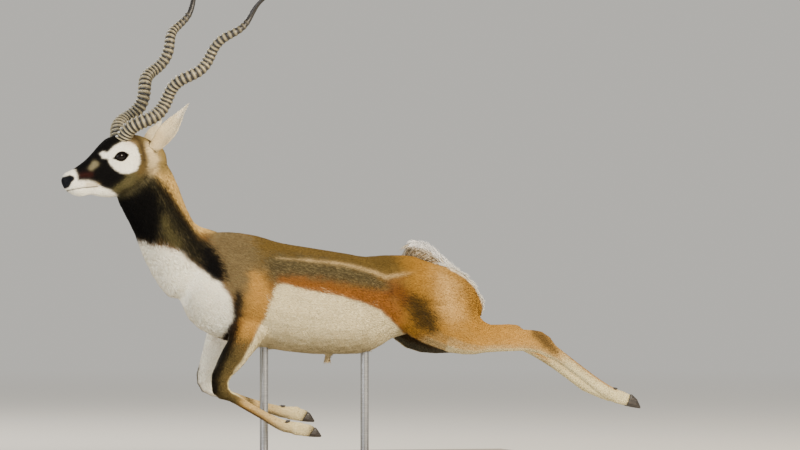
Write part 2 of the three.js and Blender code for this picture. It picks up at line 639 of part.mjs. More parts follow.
// The tail, carried up and folded forward over the croup, white hair of the underside on top
const tailStations = [
  { a: [392, 462], b: [345, 440], half: 16 },
  { a: [378, 494], b: [333, 474], half: 19 },
  { a: [352, 521], b: [315, 499], half: 20 },
  { a: [318, 548], b: [285, 524], half: 20 },
  { a: [282, 568], b: [258, 546], half: 17 },
  { a: [254, 576], b: [240, 562], half: 11 },
];

function tail() {
  const core = loft(tailStations, { rings: 12, sides: 12, dome: [0.3, 0.6], n: 2.1 });
  const random = randomSource(TAIL.seed);
  const path = new THREE.CatmullRomCurve3(tailStations.slice(1).map((s) => new THREE.Vector3(
    (s.a[0] * 0.55 + s.b[0] * 0.45), 0, (s.a[1] * 0.55 + s.b[1] * 0.45),
  )));
  const locks = [];
  for (let i = 0; i < TAIL.locks; i += 1) {
    const t = 0.16 + 0.84 * (i / (TAIL.locks - 1)) ** 0.85;
    const around = THREE.MathUtils.degToRad(-75 + 150 * ((i * 0.618) % 1));
    const centre = path.getPoint(Math.min(1, t));
    const along = path.getTangent(Math.min(1, t)).normalize();
    const outward = new THREE.Vector3(0, Math.sin(around), 0)
      .add(new THREE.Vector3(-along.z, 0, along.x).multiplyScalar(-Math.cos(around))).normalize();
    const root = centre.clone().addScaledVector(outward, 9);
    const spread = 0.42 + 0.22 * random();
    const heading = along.clone().addScaledVector(outward, spread).normalize();
    locks.push(lock(root, heading, outward.clone().multiplyScalar(-0.5), outward, {
      length: TAIL.lockLength * (0.82 + 0.3 * random()),
      width: TAIL.lockWidth * (0.85 + 0.3 * random()),
      thick: TAIL.lockThick,
    }));
  }
  return join(core, ...locks);
}

// The tuft of the sheath on the belly
function sheathTuft() {
  const random = randomSource(TUFT.seed);
  const bulb = ball([TUFT.x, 0, TUFT.z - 8], [12, 8, 12], 10, 6);
  const locks = Array.from({ length: TUFT.locks }, (_, i) => {
    const angle = 2 * Math.PI * i / TUFT.locks;
    const root = new THREE.Vector3(TUFT.x + 4 * Math.cos(angle), 3.5 * Math.sin(angle), TUFT.z - 14);
    const heading = new THREE.Vector3(-0.35 + 0.3 * Math.cos(angle), 0.3 * Math.sin(angle), -1).normalize();
    const flat = new THREE.Vector3(Math.cos(angle), Math.sin(angle), 0.2);
    return lock(root, heading, new THREE.Vector3(-0.6, 0, 0), flat, {
      length: TUFT.length * (0.8 + 0.3 * random()), width: 8, thick: 3, steps: 3,
    });
  });
  return join(bulb, ...locks);
}

// A straight round bar between two heights
function bar([x, y], low, high, radius, sides = ROD.sides) {
  const rings = [low, high].map((z) => Array.from({ length: sides }, (_, k) => new THREE.Vector3(
    x + radius * Math.cos(2 * Math.PI * k / sides), y + radius * Math.sin(2 * Math.PI * k / sides), z,
  )));
  return skinRings(rings, new THREE.Vector3(x, y, low), new THREE.Vector3(x, y, high));
}

// The stand's base: a flat plate with a small chamfer round its top edge
function standBase() {
  const layer = (inset, z) => {
    const x = STAND.long / 2 - inset;
    const y = STAND.wide / 2 - inset;
    return [[x, y], [-x, y], [-x, -y], [x, -y]].map(([px, py]) => new THREE.Vector3(px, py, z));
  };
  const rings = [layer(0, 0), layer(0, STAND.thick - STAND.edge), layer(STAND.edge, STAND.thick)];
  const plate = skinRings(rings, new THREE.Vector3(0, 0, 0), new THREE.Vector3(0, 0, STAND.thick));
  const foot = STAND.thick - STAND.sunk;
  const holes = Object.values(ROD.places)
    .map((place) => bar(place, foot - GAP, STAND.thick + STAND.sunk, ROD.radius + GAP));
  return holes.reduce((body, hole) => body.subtract(hole), plate);
}

// All the flesh in one, parted by thin cuts
const trunkOf = (grow) => loft(trunkStations, {
  ...TRUNK, dome: [0.5, 0.4], n: 2.2, shape: swell(trunkSwells), grow,
});
const trunk = trunkOf(0);
const trunkRoom = trunkOf(GAP);
const neckOf = (grow) => loft(neckStations, { ...NECK, dome: [0.3, 0.3], n: 2.15, grow });
const neck = neckOf(0);
const neckRoom = neckOf(GAP);
const skullOf = (grow) => loft(headStations, {
  ...HEAD, dome: [0.5, 0.35], n: 2.3, shape: swell(headSwells), place: headPlace, grow,
});
const skull = skullOf(0);
const skullRoom = skullOf(GAP);

const legs = {
  fore_left: leg(foreNear), fore_right: leg(foreFar), hind_left: leg(hindNear), hind_right: leg(hindFar),
};
const sides = { left: -1, right: 1 };
const ears = { left: ear(-1, earAim(-1, EAR.left)), right: ear(1, earAim(1, EAR.right)) };
const horns = { left: horn('left', -1), right: horn('right', 1) };

// An ear's direction: back, out and up from a level line along the head
function earAim(side, { back, out, up }) {
  const level = headDirection(1, 0, 0).setZ(0).normalize();
  const outLeft = new THREE.Vector3(0, 0, 1).cross(level).normalize();
  return level.multiplyScalar(-back).addScaledVector(outLeft, -side * out).add(new THREE.Vector3(0, 0, up));
}

function cutAcross(whole, { at, along }) {
  return splitAt(whole, new THREE.Vector3(...at), new THREE.Vector3(...along));
}

const [front, body] = cutAcross(join(trunk, neck, skull), CUTS.neck);
const [headPiece, neckPiece] = cutAcross(front, CUTS.head);

// The head with its lids, eye sockets, mouth, nostrils and the roots of ears and horns
let head = largest(headPiece);
const parts = [];
for (const [name, sign] of Object.entries(sides)) {
  const centre = [EYE.f, sign * EYE.side, EYE.u];
  const around = (radius, n, m) => ball(centre, [radius, radius, radius], n, m, headPlace);
  head = head.add(around(EYE.radius + GAP + EYE.lid, 14, 10));
  head = head.subtract(around(EYE.radius + GAP, 14, 8));
  head = head.subtract(lidOpening(sign));
  parts.push([`eye_${name}`, 'eye', around(EYE.radius, 14, 8)]);
  head = head.subtract(nostril(sign));
  parts.push([`ear_${name}`, 'fur_pale', largest(ears[name].subtract(skullRoom).subtract(neckRoom))]);
  parts.push([`horn_${name}`, 'horn', largest(horns[name].subtract(skullRoom))]);
}
head = largest(head.subtract(mouthCut()));
parts.push(['head', 'fur_dark', head]);
parts.push(['neck', 'fur_dark', largest(neckPiece)]);

let torso = join(body, ...Object.values(legs).map((l) => l.upper));
for (const place of Object.values(ROD.places)) {
  torso = torso.subtract(bar(place, STAND.thick, ROD.top + GAP, ROD.radius + GAP));
}
parts.push(['torso', 'fur_tan', largest(torso)]);
parts.push(['tail', 'hair_white', largest(tail().subtract(trunkRoom))]);
parts.push(['sheath_tuft', 'fur_dark', largest(sheathTuft().subtract(trunkRoom))]);
for (const [name, l] of Object.entries(legs)) {
  parts.push([`leg_${name}`, 'fur_tan', largest(l.lower.subtract(trunkRoom))]);
  ['inner', 'outer'].forEach((which, i) => {
    parts.push([`hoof_${name}_${which}`, 'hoof', l.hooves[i]]);
    parts.push([`dewclaw_${name}_${which}`, 'hoof', l.dewTips[i]]);
  });
}
parts.push(['stand_base', 'stand_plate', standBase()]);
for (const [name, place] of Object.entries(ROD.places)) {
  parts.push([`stand_rod_${name}`, 'stand_metal', bar(place, STAND.thick - STAND.sunk, ROD.top, ROD.radius)]);
}

// Materials, one for each kind of surface
const finishes = {
  fur_tan: { color: '#8a6238', roughness: 0.85 },
  fur_dark: { color: '#241c17', roughness: 0.85 },
  fur_pale: { color: '#d9cdb8', roughness: 0.9 },
  hair_white: { color: '#eeeae2', roughness: 0.9 },
  eye: { color: '#120c08', roughness: 0.08 },
  horn: { color: '#4a4036', roughness: 0.55 },
  hoof: { color: '#1c1a19', roughness: 0.45 },
  stand_plate: { color: '#2b2b2d', roughness: 0.5 },
  stand_metal: { color: '#9a9a9c', roughness: 0.3, metalness: 1 },
};

function toMesh(name, finish, solid) {
  const { vertProperties, triVerts } = solid.getMesh();
  const geometry = new THREE.BufferGeometry();
  geometry.setAttribute('position', new THREE.BufferAttribute(new Float32Array(vertProperties), 3));
  geometry.setIndex(new THREE.BufferAttribute(new Uint32Array(triVerts), 1));
  geometry.computeVertexNormals();
  const material = new THREE.MeshStandardMaterial({ metalness: 0, ...finishes[finish] });
  const mesh = new THREE.Mesh(geometry, material);
  mesh.name = name;
  return mesh;
}

const blackbuck = new THREE.Group();
for (const [name, finish, solid] of parts) blackbuck.add(toMesh(name, finish, solid));
export default blackbuck;
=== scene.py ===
"""A leaping male blackbuck, life size, as a museum shows it: dressed skin under a short coat,
ringed horns, glass eyes and hooves, on a plain plate with two rods. Metres, +Z up, nose to -X.
Sizes named MM are millimetres, since that is how a modeller of animals measures them."""
import math

import bmesh
import bpy
import numpy as np
from mathutils import Matrix, Vector


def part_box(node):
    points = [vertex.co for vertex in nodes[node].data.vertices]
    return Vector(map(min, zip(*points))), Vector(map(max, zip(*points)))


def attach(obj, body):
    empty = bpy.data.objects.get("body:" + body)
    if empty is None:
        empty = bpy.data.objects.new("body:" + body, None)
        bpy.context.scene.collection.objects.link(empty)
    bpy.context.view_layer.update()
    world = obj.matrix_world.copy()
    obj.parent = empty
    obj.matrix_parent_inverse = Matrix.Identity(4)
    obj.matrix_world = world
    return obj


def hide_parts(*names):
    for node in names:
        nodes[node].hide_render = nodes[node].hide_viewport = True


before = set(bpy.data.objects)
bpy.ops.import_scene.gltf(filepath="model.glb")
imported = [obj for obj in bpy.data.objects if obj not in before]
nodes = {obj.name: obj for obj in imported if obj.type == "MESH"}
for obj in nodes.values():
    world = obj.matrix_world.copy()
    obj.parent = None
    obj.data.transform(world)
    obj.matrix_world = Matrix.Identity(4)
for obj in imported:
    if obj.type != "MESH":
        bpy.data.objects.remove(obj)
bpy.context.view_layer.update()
MM = 0.001

# Camera, light and floor
AIM = Vector((0.2153, 0.0, 0.615))        # the middle of the picture, on the animal's middle plane
AZIMUTH, ELEVATION, DISTANCE = -15.0, 1.0, 40.0
PICTURE_WIDTH = 2.08                      # metres across the picture at the animal
SENSOR = 36.0


def look_at(thing, place, target):
    thing.location = place
    thing.rotation_euler = (target - place).to_track_quat("-Z", "Y").to_euler()


def make_camera():
    azimuth, elevation = math.radians(AZIMUTH), math.radians(ELEVATION)
    back = Vector((math.sin(azimuth) * math.cos(elevation),
                   -math.cos(azimuth) * math.cos(elevation), math.sin(elevation)))
    data = bpy.data.cameras.new("camera")
    data.sensor_width = SENSOR
    data.lens = SENSOR * DISTANCE / PICTURE_WIDTH
    data.clip_start, data.clip_end = 1.0, 400.0
    camera = bpy.data.objects.new("camera", data)
    bpy.context.scene.collection.objects.link(camera)
    look_at(camera, AIM + back * DISTANCE, AIM)
    bpy.context.scene.camera = camera


make_camera()


def linear(hex_colour):
    """An sRGB hex colour as the linear numbers that shaders work in."""
    parts = [int(hex_colour[i:i + 2], 16) / 255 for i in (1, 3, 5)]
    return tuple(p / 12.92 if p <= 0.04045 else ((p + 0.055) / 1.055) ** 2.4 for p in parts)


def rgba(hex_colour):
    return (*linear(hex_colour), 1.0)


def add_node(tree, kind, settings=None, **inputs):
    """Adds a shader node. An input is a value, or an output socket to link from; _ stands for a space."""
    made = tree.nodes.new(kind)
    for key, value in (settings or {}).items():
        setattr(made, key, value)
    for key, value in inputs.items():
        socket = made.inputs[int(key[1:])] if key[0] == "i" and key[1:].isdigit() \
            else made.inputs[key.replace("_", " ")]
        if isinstance(value, bpy.types.NodeSocket):
            tree.links.new(value, socket)
        else:
            socket.default_value = value
    return made


def new_material(name):
    material = bpy.data.materials.new(name)
    material.use_nodes = True
    tree = material.node_tree
    tree.nodes.clear()
    return material, tree


def finish_material(tree, shader):
    add_node(tree, "ShaderNodeOutputMaterial", Surface=shader.outputs["BSDF"])


def finish_hard(tree, colour, rough, relief, ior=1.5, metallic=0.0):
    """The shader of horn, hoof, lacquer and steel: a colour, a polish and a fine relief."""
    finish_material(tree, add_node(
        tree, "ShaderNodeBsdfPrincipled", Base_Color=colour, Roughness=rough, IOR=ior, Metallic=metallic,
        Normal=relief))


def between(tree, value, low, high):
    """A value from 0 to 1 as one from low to high."""
    return add_node(tree, "ShaderNodeMapRange", Value=value, To_Min=low, To_Max=high).outputs[0]


def ramp(tree, factor, *stops):
    made = add_node(tree, "ShaderNodeValToRGB", Fac=factor)
    elements = made.color_ramp.elements
    while len(elements) < len(stops):
        elements.new(0.5)
    for element, (place, colour) in zip(elements, stops):
        element.position = place
        element.color = colour
    return made.outputs["Color"]


def noise(tree, scale, detail=3.0, roughness=0.5, stretch=(1, 1, 1)):
    place = add_node(tree, "ShaderNodeTexCoord").outputs["Object"]
    if stretch != (1, 1, 1):
        place = add_node(tree, "ShaderNodeMapping", Vector=place, Scale=stretch).outputs["Vector"]
    return add_node(tree, "ShaderNodeTexNoise", Vector=place, Scale=scale, Detail=detail,
                    Roughness=roughness).outputs["Fac"]


def bump(tree, height, distance, strength=1.0):
    return add_node(tree, "ShaderNodeBump", Height=height, Distance=distance,
                    Strength=strength).outputs["Normal"]


def mixed(tree, factor, one, two, way="MIX"):
    made = add_node(tree, "ShaderNodeMix", {"data_type": "RGBA", "blend_type": way})
    for socket, value in ((made.inputs[0], factor), (made.inputs[6], one), (made.inputs[7], two)):
        if isinstance(value, bpy.types.NodeSocket):
            tree.links.new(value, socket)
        else:
            socket.default_value = value
    return made.outputs[2]


BACKDROP, GLOW = "#e4e1da", 0.74


def make_studio():
    world = bpy.data.worlds.new("studio")
    bpy.context.scene.world = world
    world.use_nodes = True
    background = world.node_tree.nodes["Background"]
    background.inputs["Color"].default_value = rgba(BACKDROP)
    background.inputs["Strength"].default_value = GLOW
    # Soft boxes: a warm key low from the rear on the picture's side, as a late sun would stand
    for name, place, target, size, power, warmth in (
            ("key", (2.2, -4.4, 2.9), (0, 0, 0.5), 1.7, 560, "#fff0d8"),
            ("fill", (-3.8, -2.4, 1.8), (-0.2, 0, 0.6), 2.6, 125, "#f4f5fa"),
            ("rim", (-1.4, 3.6, 3.4), (0, 0, 0.5), 2.4, 150, "#fffaf2")):
        data = bpy.data.lights.new(name, "AREA")
        data.shape = "DISK"
        data.size = size
        data.energy = power
        data.color = linear(warmth)
        light = bpy.data.objects.new(name, data)
        bpy.context.scene.collection.objects.link(light)
        look_at(light, Vector(place), Vector(target))

    # Painted studio floor: an even pale matt paint that melts into the backdrop far away
    material, tree = new_material("matt_floor_paint")
    place = add_node(tree, "ShaderNodeTexCoord").outputs["Object"]
    away = add_node(tree, "ShaderNodeVectorMath", {"operation": "LENGTH"}, i0=place).outputs["Value"]
    fade = add_node(tree, "ShaderNodeMapRange", Value=away, From_Min=2.0, From_Max=9.0).outputs[0]
    paint = mixed(tree, noise(tree, 60.0), rgba("#d4d1ca"), rgba("#dbd8d1"))
    near = add_node(tree, "ShaderNodeBsdfPrincipled", Base_Color=paint, Roughness=0.85)
    far = add_node(tree, "ShaderNodeEmission", Color=rgba(BACKDROP), Strength=GLOW)
    both = add_node(tree, "ShaderNodeMixShader", i0=fade, i1=near.outputs[0], i2=far.outputs[0])
    add_node(tree, "ShaderNodeOutputMaterial", Surface=both.outputs[0])
    bpy.ops.object.select_all(action="DESELECT")
    bpy.ops.mesh.primitive_plane_add(size=300)
    floor = bpy.context.object
    floor.name = "floor"
    floor.data.materials.append(material)


make_studio()

# The animal's frame of bones
# The head has its own frame: f forward from the poll, s to the animal's right, u up, in millimetres
POLL = np.array([-457.0, 0.0, 810.0])
PITCH, TURN, ROLL = (math.radians(v) for v in (19, 8, 3))


def head_axes():
    level = np.array([-math.cos(TURN), -math.sin(TURN), 0])
    rise = np.array([0, 0, 1.0])
    forward = level * math.cos(PITCH) - rise * math.sin(PITCH)
    up = level * math.sin(PITCH) + rise * math.cos(PITCH)
    right = np.cross(forward, up)
    cos, sin = math.cos(ROLL), math.sin(ROLL)
    return np.array([forward, right * cos + np.cross(forward, right) * sin,
                     up * cos + np.cross(forward, up) * sin])


HEAD_AXES = head_axes()


def in_head(points):
    """World millimetres to the head's frame."""
    return (points - POLL) @ HEAD_AXES.T


def from_head(f, s, u):
    return POLL + np.array([f, s, u]) @ HEAD_AXES


def ear_axis(side, back, out, up):
    level = HEAD_AXES[0] * [1, 1, 0]
    level /= np.linalg.norm(level)
    left = np.cross([0, 0, 1.0], level)
    aim = -level * back - left * side * out + np.array([0, 0, 1.0]) * up
    aim /= np.linalg.norm(aim)
    base = from_head(0, side * 36, 4)
    return base, aim


EAR_LENGTH = 148
LEFT_EAR = ear_axis(-1, 69, 60, 112)
RIGHT_EAR = ear_axis(1, 84, 90, 72)


def ear_bone(ear):
    base, aim = ear
    return [(*(base + aim * EAR_LENGTH * t), r) for t, r in ((0.12, 16), (0.5, 20), (1.0, 10))]


# Each bone is a line of (x, y, z, radius of the flesh round it), in the direction the hair lies
BONES = {
    "head": [(*from_head(256, 0, -4), 16), (*from_head(225, 0, -10), 26), (*from_head(160, 0, -14), 38),
             (*from_head(90, 0, -12), 60), (*from_head(15, 0, -15), 56)],
    "neck": [(-478, 0, 770, 50), (-450, 0, 690, 60), (-425, 0, 620, 66), (-380, 0, 545, 74)],
    "trunk": [(-360, 0, 480, 80), (-260, 0, 455, 105), (-100, 0, 430, 130), (0, 0, 420, 130),
              (130, 0, 415, 115), (250, 0, 425, 100), (350, 0, 415, 90), (405, 0, 400, 70)],
    "fore_left": [(-195, -70, 385, 42), (-211, -64, 326, 38), (-238, -66, 288, 35), (-282, -65, 223, 24),
                  (-285, -64, 200, 22), (-273, -63, 180, 20), (-251, -62, 172, 16), (-169, -60, 125, 13),
                  (-111, -60, 96, 16), (-69, -60, 90, 16), (-30, -60, 75, 16)],
    "fore_right": [(-205, 70, 390, 42), (-232, 64, 331, 38), (-252, 66, 291, 35), (-289, 65, 224, 24),
                   (-288, 64, 204, 22), (-271, 63, 186, 20), (-248, 62, 180, 16), (-156, 61, 149, 13),
                   (-88, 60, 130, 16), (-45, 60, 125, 16), (-10, 60, 110, 16)],
    "hind_left": [(290, -70, 410, 62), (318, -57, 355, 60), (356, -60, 333, 50), (428, -66, 314, 36),
                  (507, -68, 314, 28), (577, -68, 306, 26), (604, -68, 286, 20), (672, -68, 240, 13),
                  (713, -68, 209, 13), (763, -68, 175, 17), (798, -68, 161, 16), (840, -68, 145, 16)],
    "hind_right": [(290, 70, 410, 62), (313, 57, 350, 60), (350, 60, 325, 50), (427, 66, 318, 36),
                   (495, 66, 325, 28), (550, 66, 319, 26), (577, 66, 298, 20), (649, 66, 252, 13),
                   (701, 66, 216, 13), (761, 66, 182, 17), (806, 66, 166, 16), (855, 66, 150, 16)],
    "tail": [(350, 0, 470, 22), (330, 0, 506, 20), (302, 0, 536, 18), (270, 0, 557, 17), (247, 0, 569, 14)],
    "ear_left": ear_bone(LEFT_EAR),
    "ear_right": ear_bone(RIGHT_EAR),
}
LIMBS = list(BONES)


def read_bones(points):
    """For points in millimetres: the limb each belongs to, its share of every limb, how far along
    each limb it is (0 to 1), its angle round its own limb, and the lie of the hair there."""
    count = len(points)
    near = np.full((len(BONES), count), 1e9)
    lengthwise = np.zeros((len(BONES), count))
    best = np.full(count, 1e9)
    heading, offset, lie = np.zeros((count, 3)), np.zeros((count, 3)), np.zeros((count, 3))
    for index, bone in enumerate(BONES.values()):
        line = np.array(bone, float)
        spans = np.linalg.norm(np.diff(line[:, :3], axis=0), axis=1)
        total, run = spans.sum(), 0.0
        for (a, b), span in zip(zip(line[:-1], line[1:]), spans):
            direction = (b[:3] - a[:3]) / span
            t = np.clip((points - a[:3]) @ direction / span, 0, 1)
            away = points - (a[:3] + np.outer(t * span, direction))
            close = np.linalg.norm(away, axis=1) / (a[3] + (b[3] - a[3]) * t)
            lie += direction * ((close + 0.05) ** -4)[:, None]
            lengthwise[index] = np.where(close < near[index], (run + t * span) / total, lengthwise[index])
            near[index] = np.minimum(near[index], close)
            nearest = close < best
            best[nearest] = close[nearest]
            heading[nearest] = direction
            offset[nearest] = away[nearest]
            run += span
    lie /= np.linalg.norm(lie, axis=1)[:, None]
    limb = near.argmin(0)
    share = (near + 0.05) ** -8.0
    share /= share.sum(0)
    other = np.cross(heading, [0, 1.0, 0])
    angle = np.arctan2((offset * other).sum(1), offset[:, 1]) / (2 * math.pi) + 0.5
    return {"limb": limb, "share": share.T, "lengthwise": lengthwise.T,
            "along": lengthwise[limb, np.arange(count)], "angle": angle, "lie": lie}


def columns_of(names):
    return [LIMBS.index(name) for name in names]


def on(bones, *names):
    """How much of each point belongs to these limbs, from 0 to 1, fading where limbs join."""
    return bones["share"][:, columns_of(names)].sum(1)


def along_of(bones, *names):
    """How far along the nearest of these limbs each point is."""
    columns = np.array(columns_of(names))
    nearest = columns[bones["share"][:, columns].argmax(1)]
    return bones["lengthwise"][np.arange(len(nearest)), nearest]


def step(value):
    """A soft step from 0 to 1 as a value passes from -1 to 1."""
    return 1 / (1 + np.exp(-np.clip(value * 2.5, -30, 30)))


# The markings of the coat
def depth_in(u, v, outline):
    """How deep points lie inside a closed outline, in millimetres; negative outside it."""
    corners = np.array(outline, float)
    nearest = np.full(len(u), 1e9)
    inside = np.zeros(len(u), bool)
    for (ax, ay), (bx, by) in zip(corners, np.roll(corners, -1, axis=0)):
        dx, dy = bx - ax, by - ay
        t = np.clip(((u - ax) * dx + (v - ay) * dy) / (dx * dx + dy * dy), 0, 1)
        nearest = np.minimum(nearest, np.hypot(u - ax - t * dx, v - ay - t * dy))
        crosses = (ay > v) != (by > v)
        with np.errstate(divide="ignore", invalid="ignore"):
            inside ^= crosses & (u < ax + (v - ay) * dx / (dy if dy else 1e-9))
    return np.where(inside, nearest, -nearest)


def depth_near(u, v, line, reach):
    """How far inside a band round an open line points lie. Reach is one number, or one for each point."""
    corners = np.array(line, float)
    reaches = np.broadcast_to(np.array(reach, float), (len(corners),))
    depth = np.full(len(u), -1e9)
    for (ax, ay), (bx, by), ra, rb in zip(corners[:-1], corners[1:], reaches[:-1], reaches[1:]):
        dx, dy = bx - ax, by - ay
        t = np.clip(((u - ax) * dx + (v - ay) * dy) / (dx * dx + dy * dy), 0, 1)
        depth = np.maximum(depth, ra + (rb - ra) * t - np.hypot(u - ax - t * dx, v - ay - t * dy))
    return depth


def wavy(points, size, seed):
    """A smooth, repeatable unevenness from -1 to 1."""
    random = np.random.default_rng(seed)
    total = np.zeros(len(points))
    for _ in range(5):
        way = random.normal(size=3)
        way /= np.linalg.norm(way)
        total += np.sin(points @ way * 2 * math.pi / (size * random.uniform(0.6, 1.5))
                        + random.uniform(0, 2 * math.pi))
    return total / 2.6


# Outlines on the flank are (x, z) in millimetres, seen from the side
CHEST_WHITE = [(-640, 604), (-505, 592), (-468, 571), (-433, 568), (-403, 560), (-382, 545), (-365, 524),
               (-336, 503), (-312, 482), (-288, 470), (-264, 432), (-256, 385), (-264, 350), (-285, 300),
               (-300, 250), (-640, 250)]
NECK_DARK = [(-640, 790), (-472, 761), (-420, 720), (-391, 674), (-358, 628), (-334, 591), (-312, 575),
             (-288, 533), (-286, 490), (-312, 482), (-336, 503), (-365, 524), (-382, 545), (-403, 560),
             (-433, 568), (-468, 571), (-505, 592), (-640, 604)]
THROAT_DARK = [(-640, 700), (-550, 697), (-524, 711), (-500, 722), (-471, 729), (-447, 711), (-438, 674),
               (-435, 637), (-443, 600), (-457, 580), (-495, 578), (-540, 590), (-640, 590)]
NECK_BAND = [(-440, 735), (-412, 690), (-388, 650), (-362, 600), (-338, 555), (-314, 515)]
NAPE_PALE = [(-472, 770), (-420, 722), (-391, 677), (-358, 632), (-334, 596), (-290, 610), (-320, 700),
             (-400, 850), (-470, 830)]
BELLY_WHITE = [(-170, 397), (-163, 425), (-157, 448), (-146, 464), (-125, 468), (-78, 455), (-3, 440),
               (78, 419), (137, 397), (176, 362), (210, 336), (250, 308), (300, 292), (360, 278), (360, 200),
               (-262, 200), (-250, 240), (-224, 280), (-200, 326), (-181, 360)]
RIDGE = [(-144, 534), (-46, 526), (35, 518), (115, 498), (154, 481), (194, 489), (263, 502)]
SHOULDER = [(-262, 585), (-246, 530), (-232, 470), (-214, 420)]
SHOULDER_GOLD = [(-196, 480), (-194, 430), (-202, 372), (-222, 334)]
SHOULDER_PATCH = [(-318, 545), (-306, 512), (-300, 490)]
THIGH_PATCH = [(228, 418), (242, 398), (258, 372), (276, 350)]
# The groin and inner thighs, painted dark as shade
GROIN_SHADE = [(188, 358), (245, 340), (300, 308), (364, 288), (354, 264), (245, 274), (203, 296), (184, 325)]
# Where the painted highlight lies on the haunch
HAUNCH_HIGHLIGHT_LINE = [(306, 482), (318, 450), (322, 410), (336, 384)]
FORE_STRIPE = [(-247, 440), (-250, 395), (-259, 348), (-273, 303), (-288, 265), (-303, 225), (-300, 190)]
HOCK_PATCH = [(558, 336), (584, 312), (612, 288)]
# Outlines on the face are (f, u) in the head's frame
EYE_RING = [(124, 37), (103, 47), (73, 51), (57, 43), (47, 29), (47, 4), (55, -17), (70, -32), (93, -32),
            (111, -24), (124, -8), (130, 9), (129, 26)]
EYE_SPOT = [(141, 41), (131, 43), (123, 34), (128, 22), (141, 28)]
LIP_WHITE = [(300, 34), (216, 26), (218, 8), (221, -6), (194, -14), (178, -27), (167, -38), (151, -54),
             (137, -69), (124, -86), (124, -120), (300, -120)]
BEHIND_EYE = [(38, 52), (32, 36), (34, 10), (44, -22), (60, -38)]
NOSE_LEATHER = [(226, 8), (234, 16), (246, 16), (264, 16), (264, -17), (246, -14), (238, -4), (228, 0)]
MOUTH = [(174, -38), (190, -33.7), (213, -27.5), (235, -23.5), (266, -19.5)]

TAN_BACK, TAN_FLANK, RUST, RUST_DEEP = "#665228", "#7d5829", "#865422", "#683c18"
HAUNCH_TAN, HAUNCH_HIGHLIGHT, SHOULDER_BROWN, GOLD = "#9d7229", "#d3ae70", "#6b5e42", "#b98c44"
GRIZZLE, GRIZZLE_PALE, NECK_OLIVE, BLACK_HAIR = "#443e2c", "#887b56", "#282518", "#070606"
CREAM, WHITE_HAIR, BELLY_CREAM, NAPE_TAN = "#e6daae", "#fffae9", "#ddd0a9", "#d2af6a"
LEG_OLIVE, LEG_TAN, LEG_PALE, FACE_RED = "#564a2b", "#a98446", "#cdb077", "#2f140f"
THIGH_TAN, FACE_GREY, FACE_OLIVE, LEATHER = "#b6863a", "#8d8567", "#4f4a2e", "#14161b"


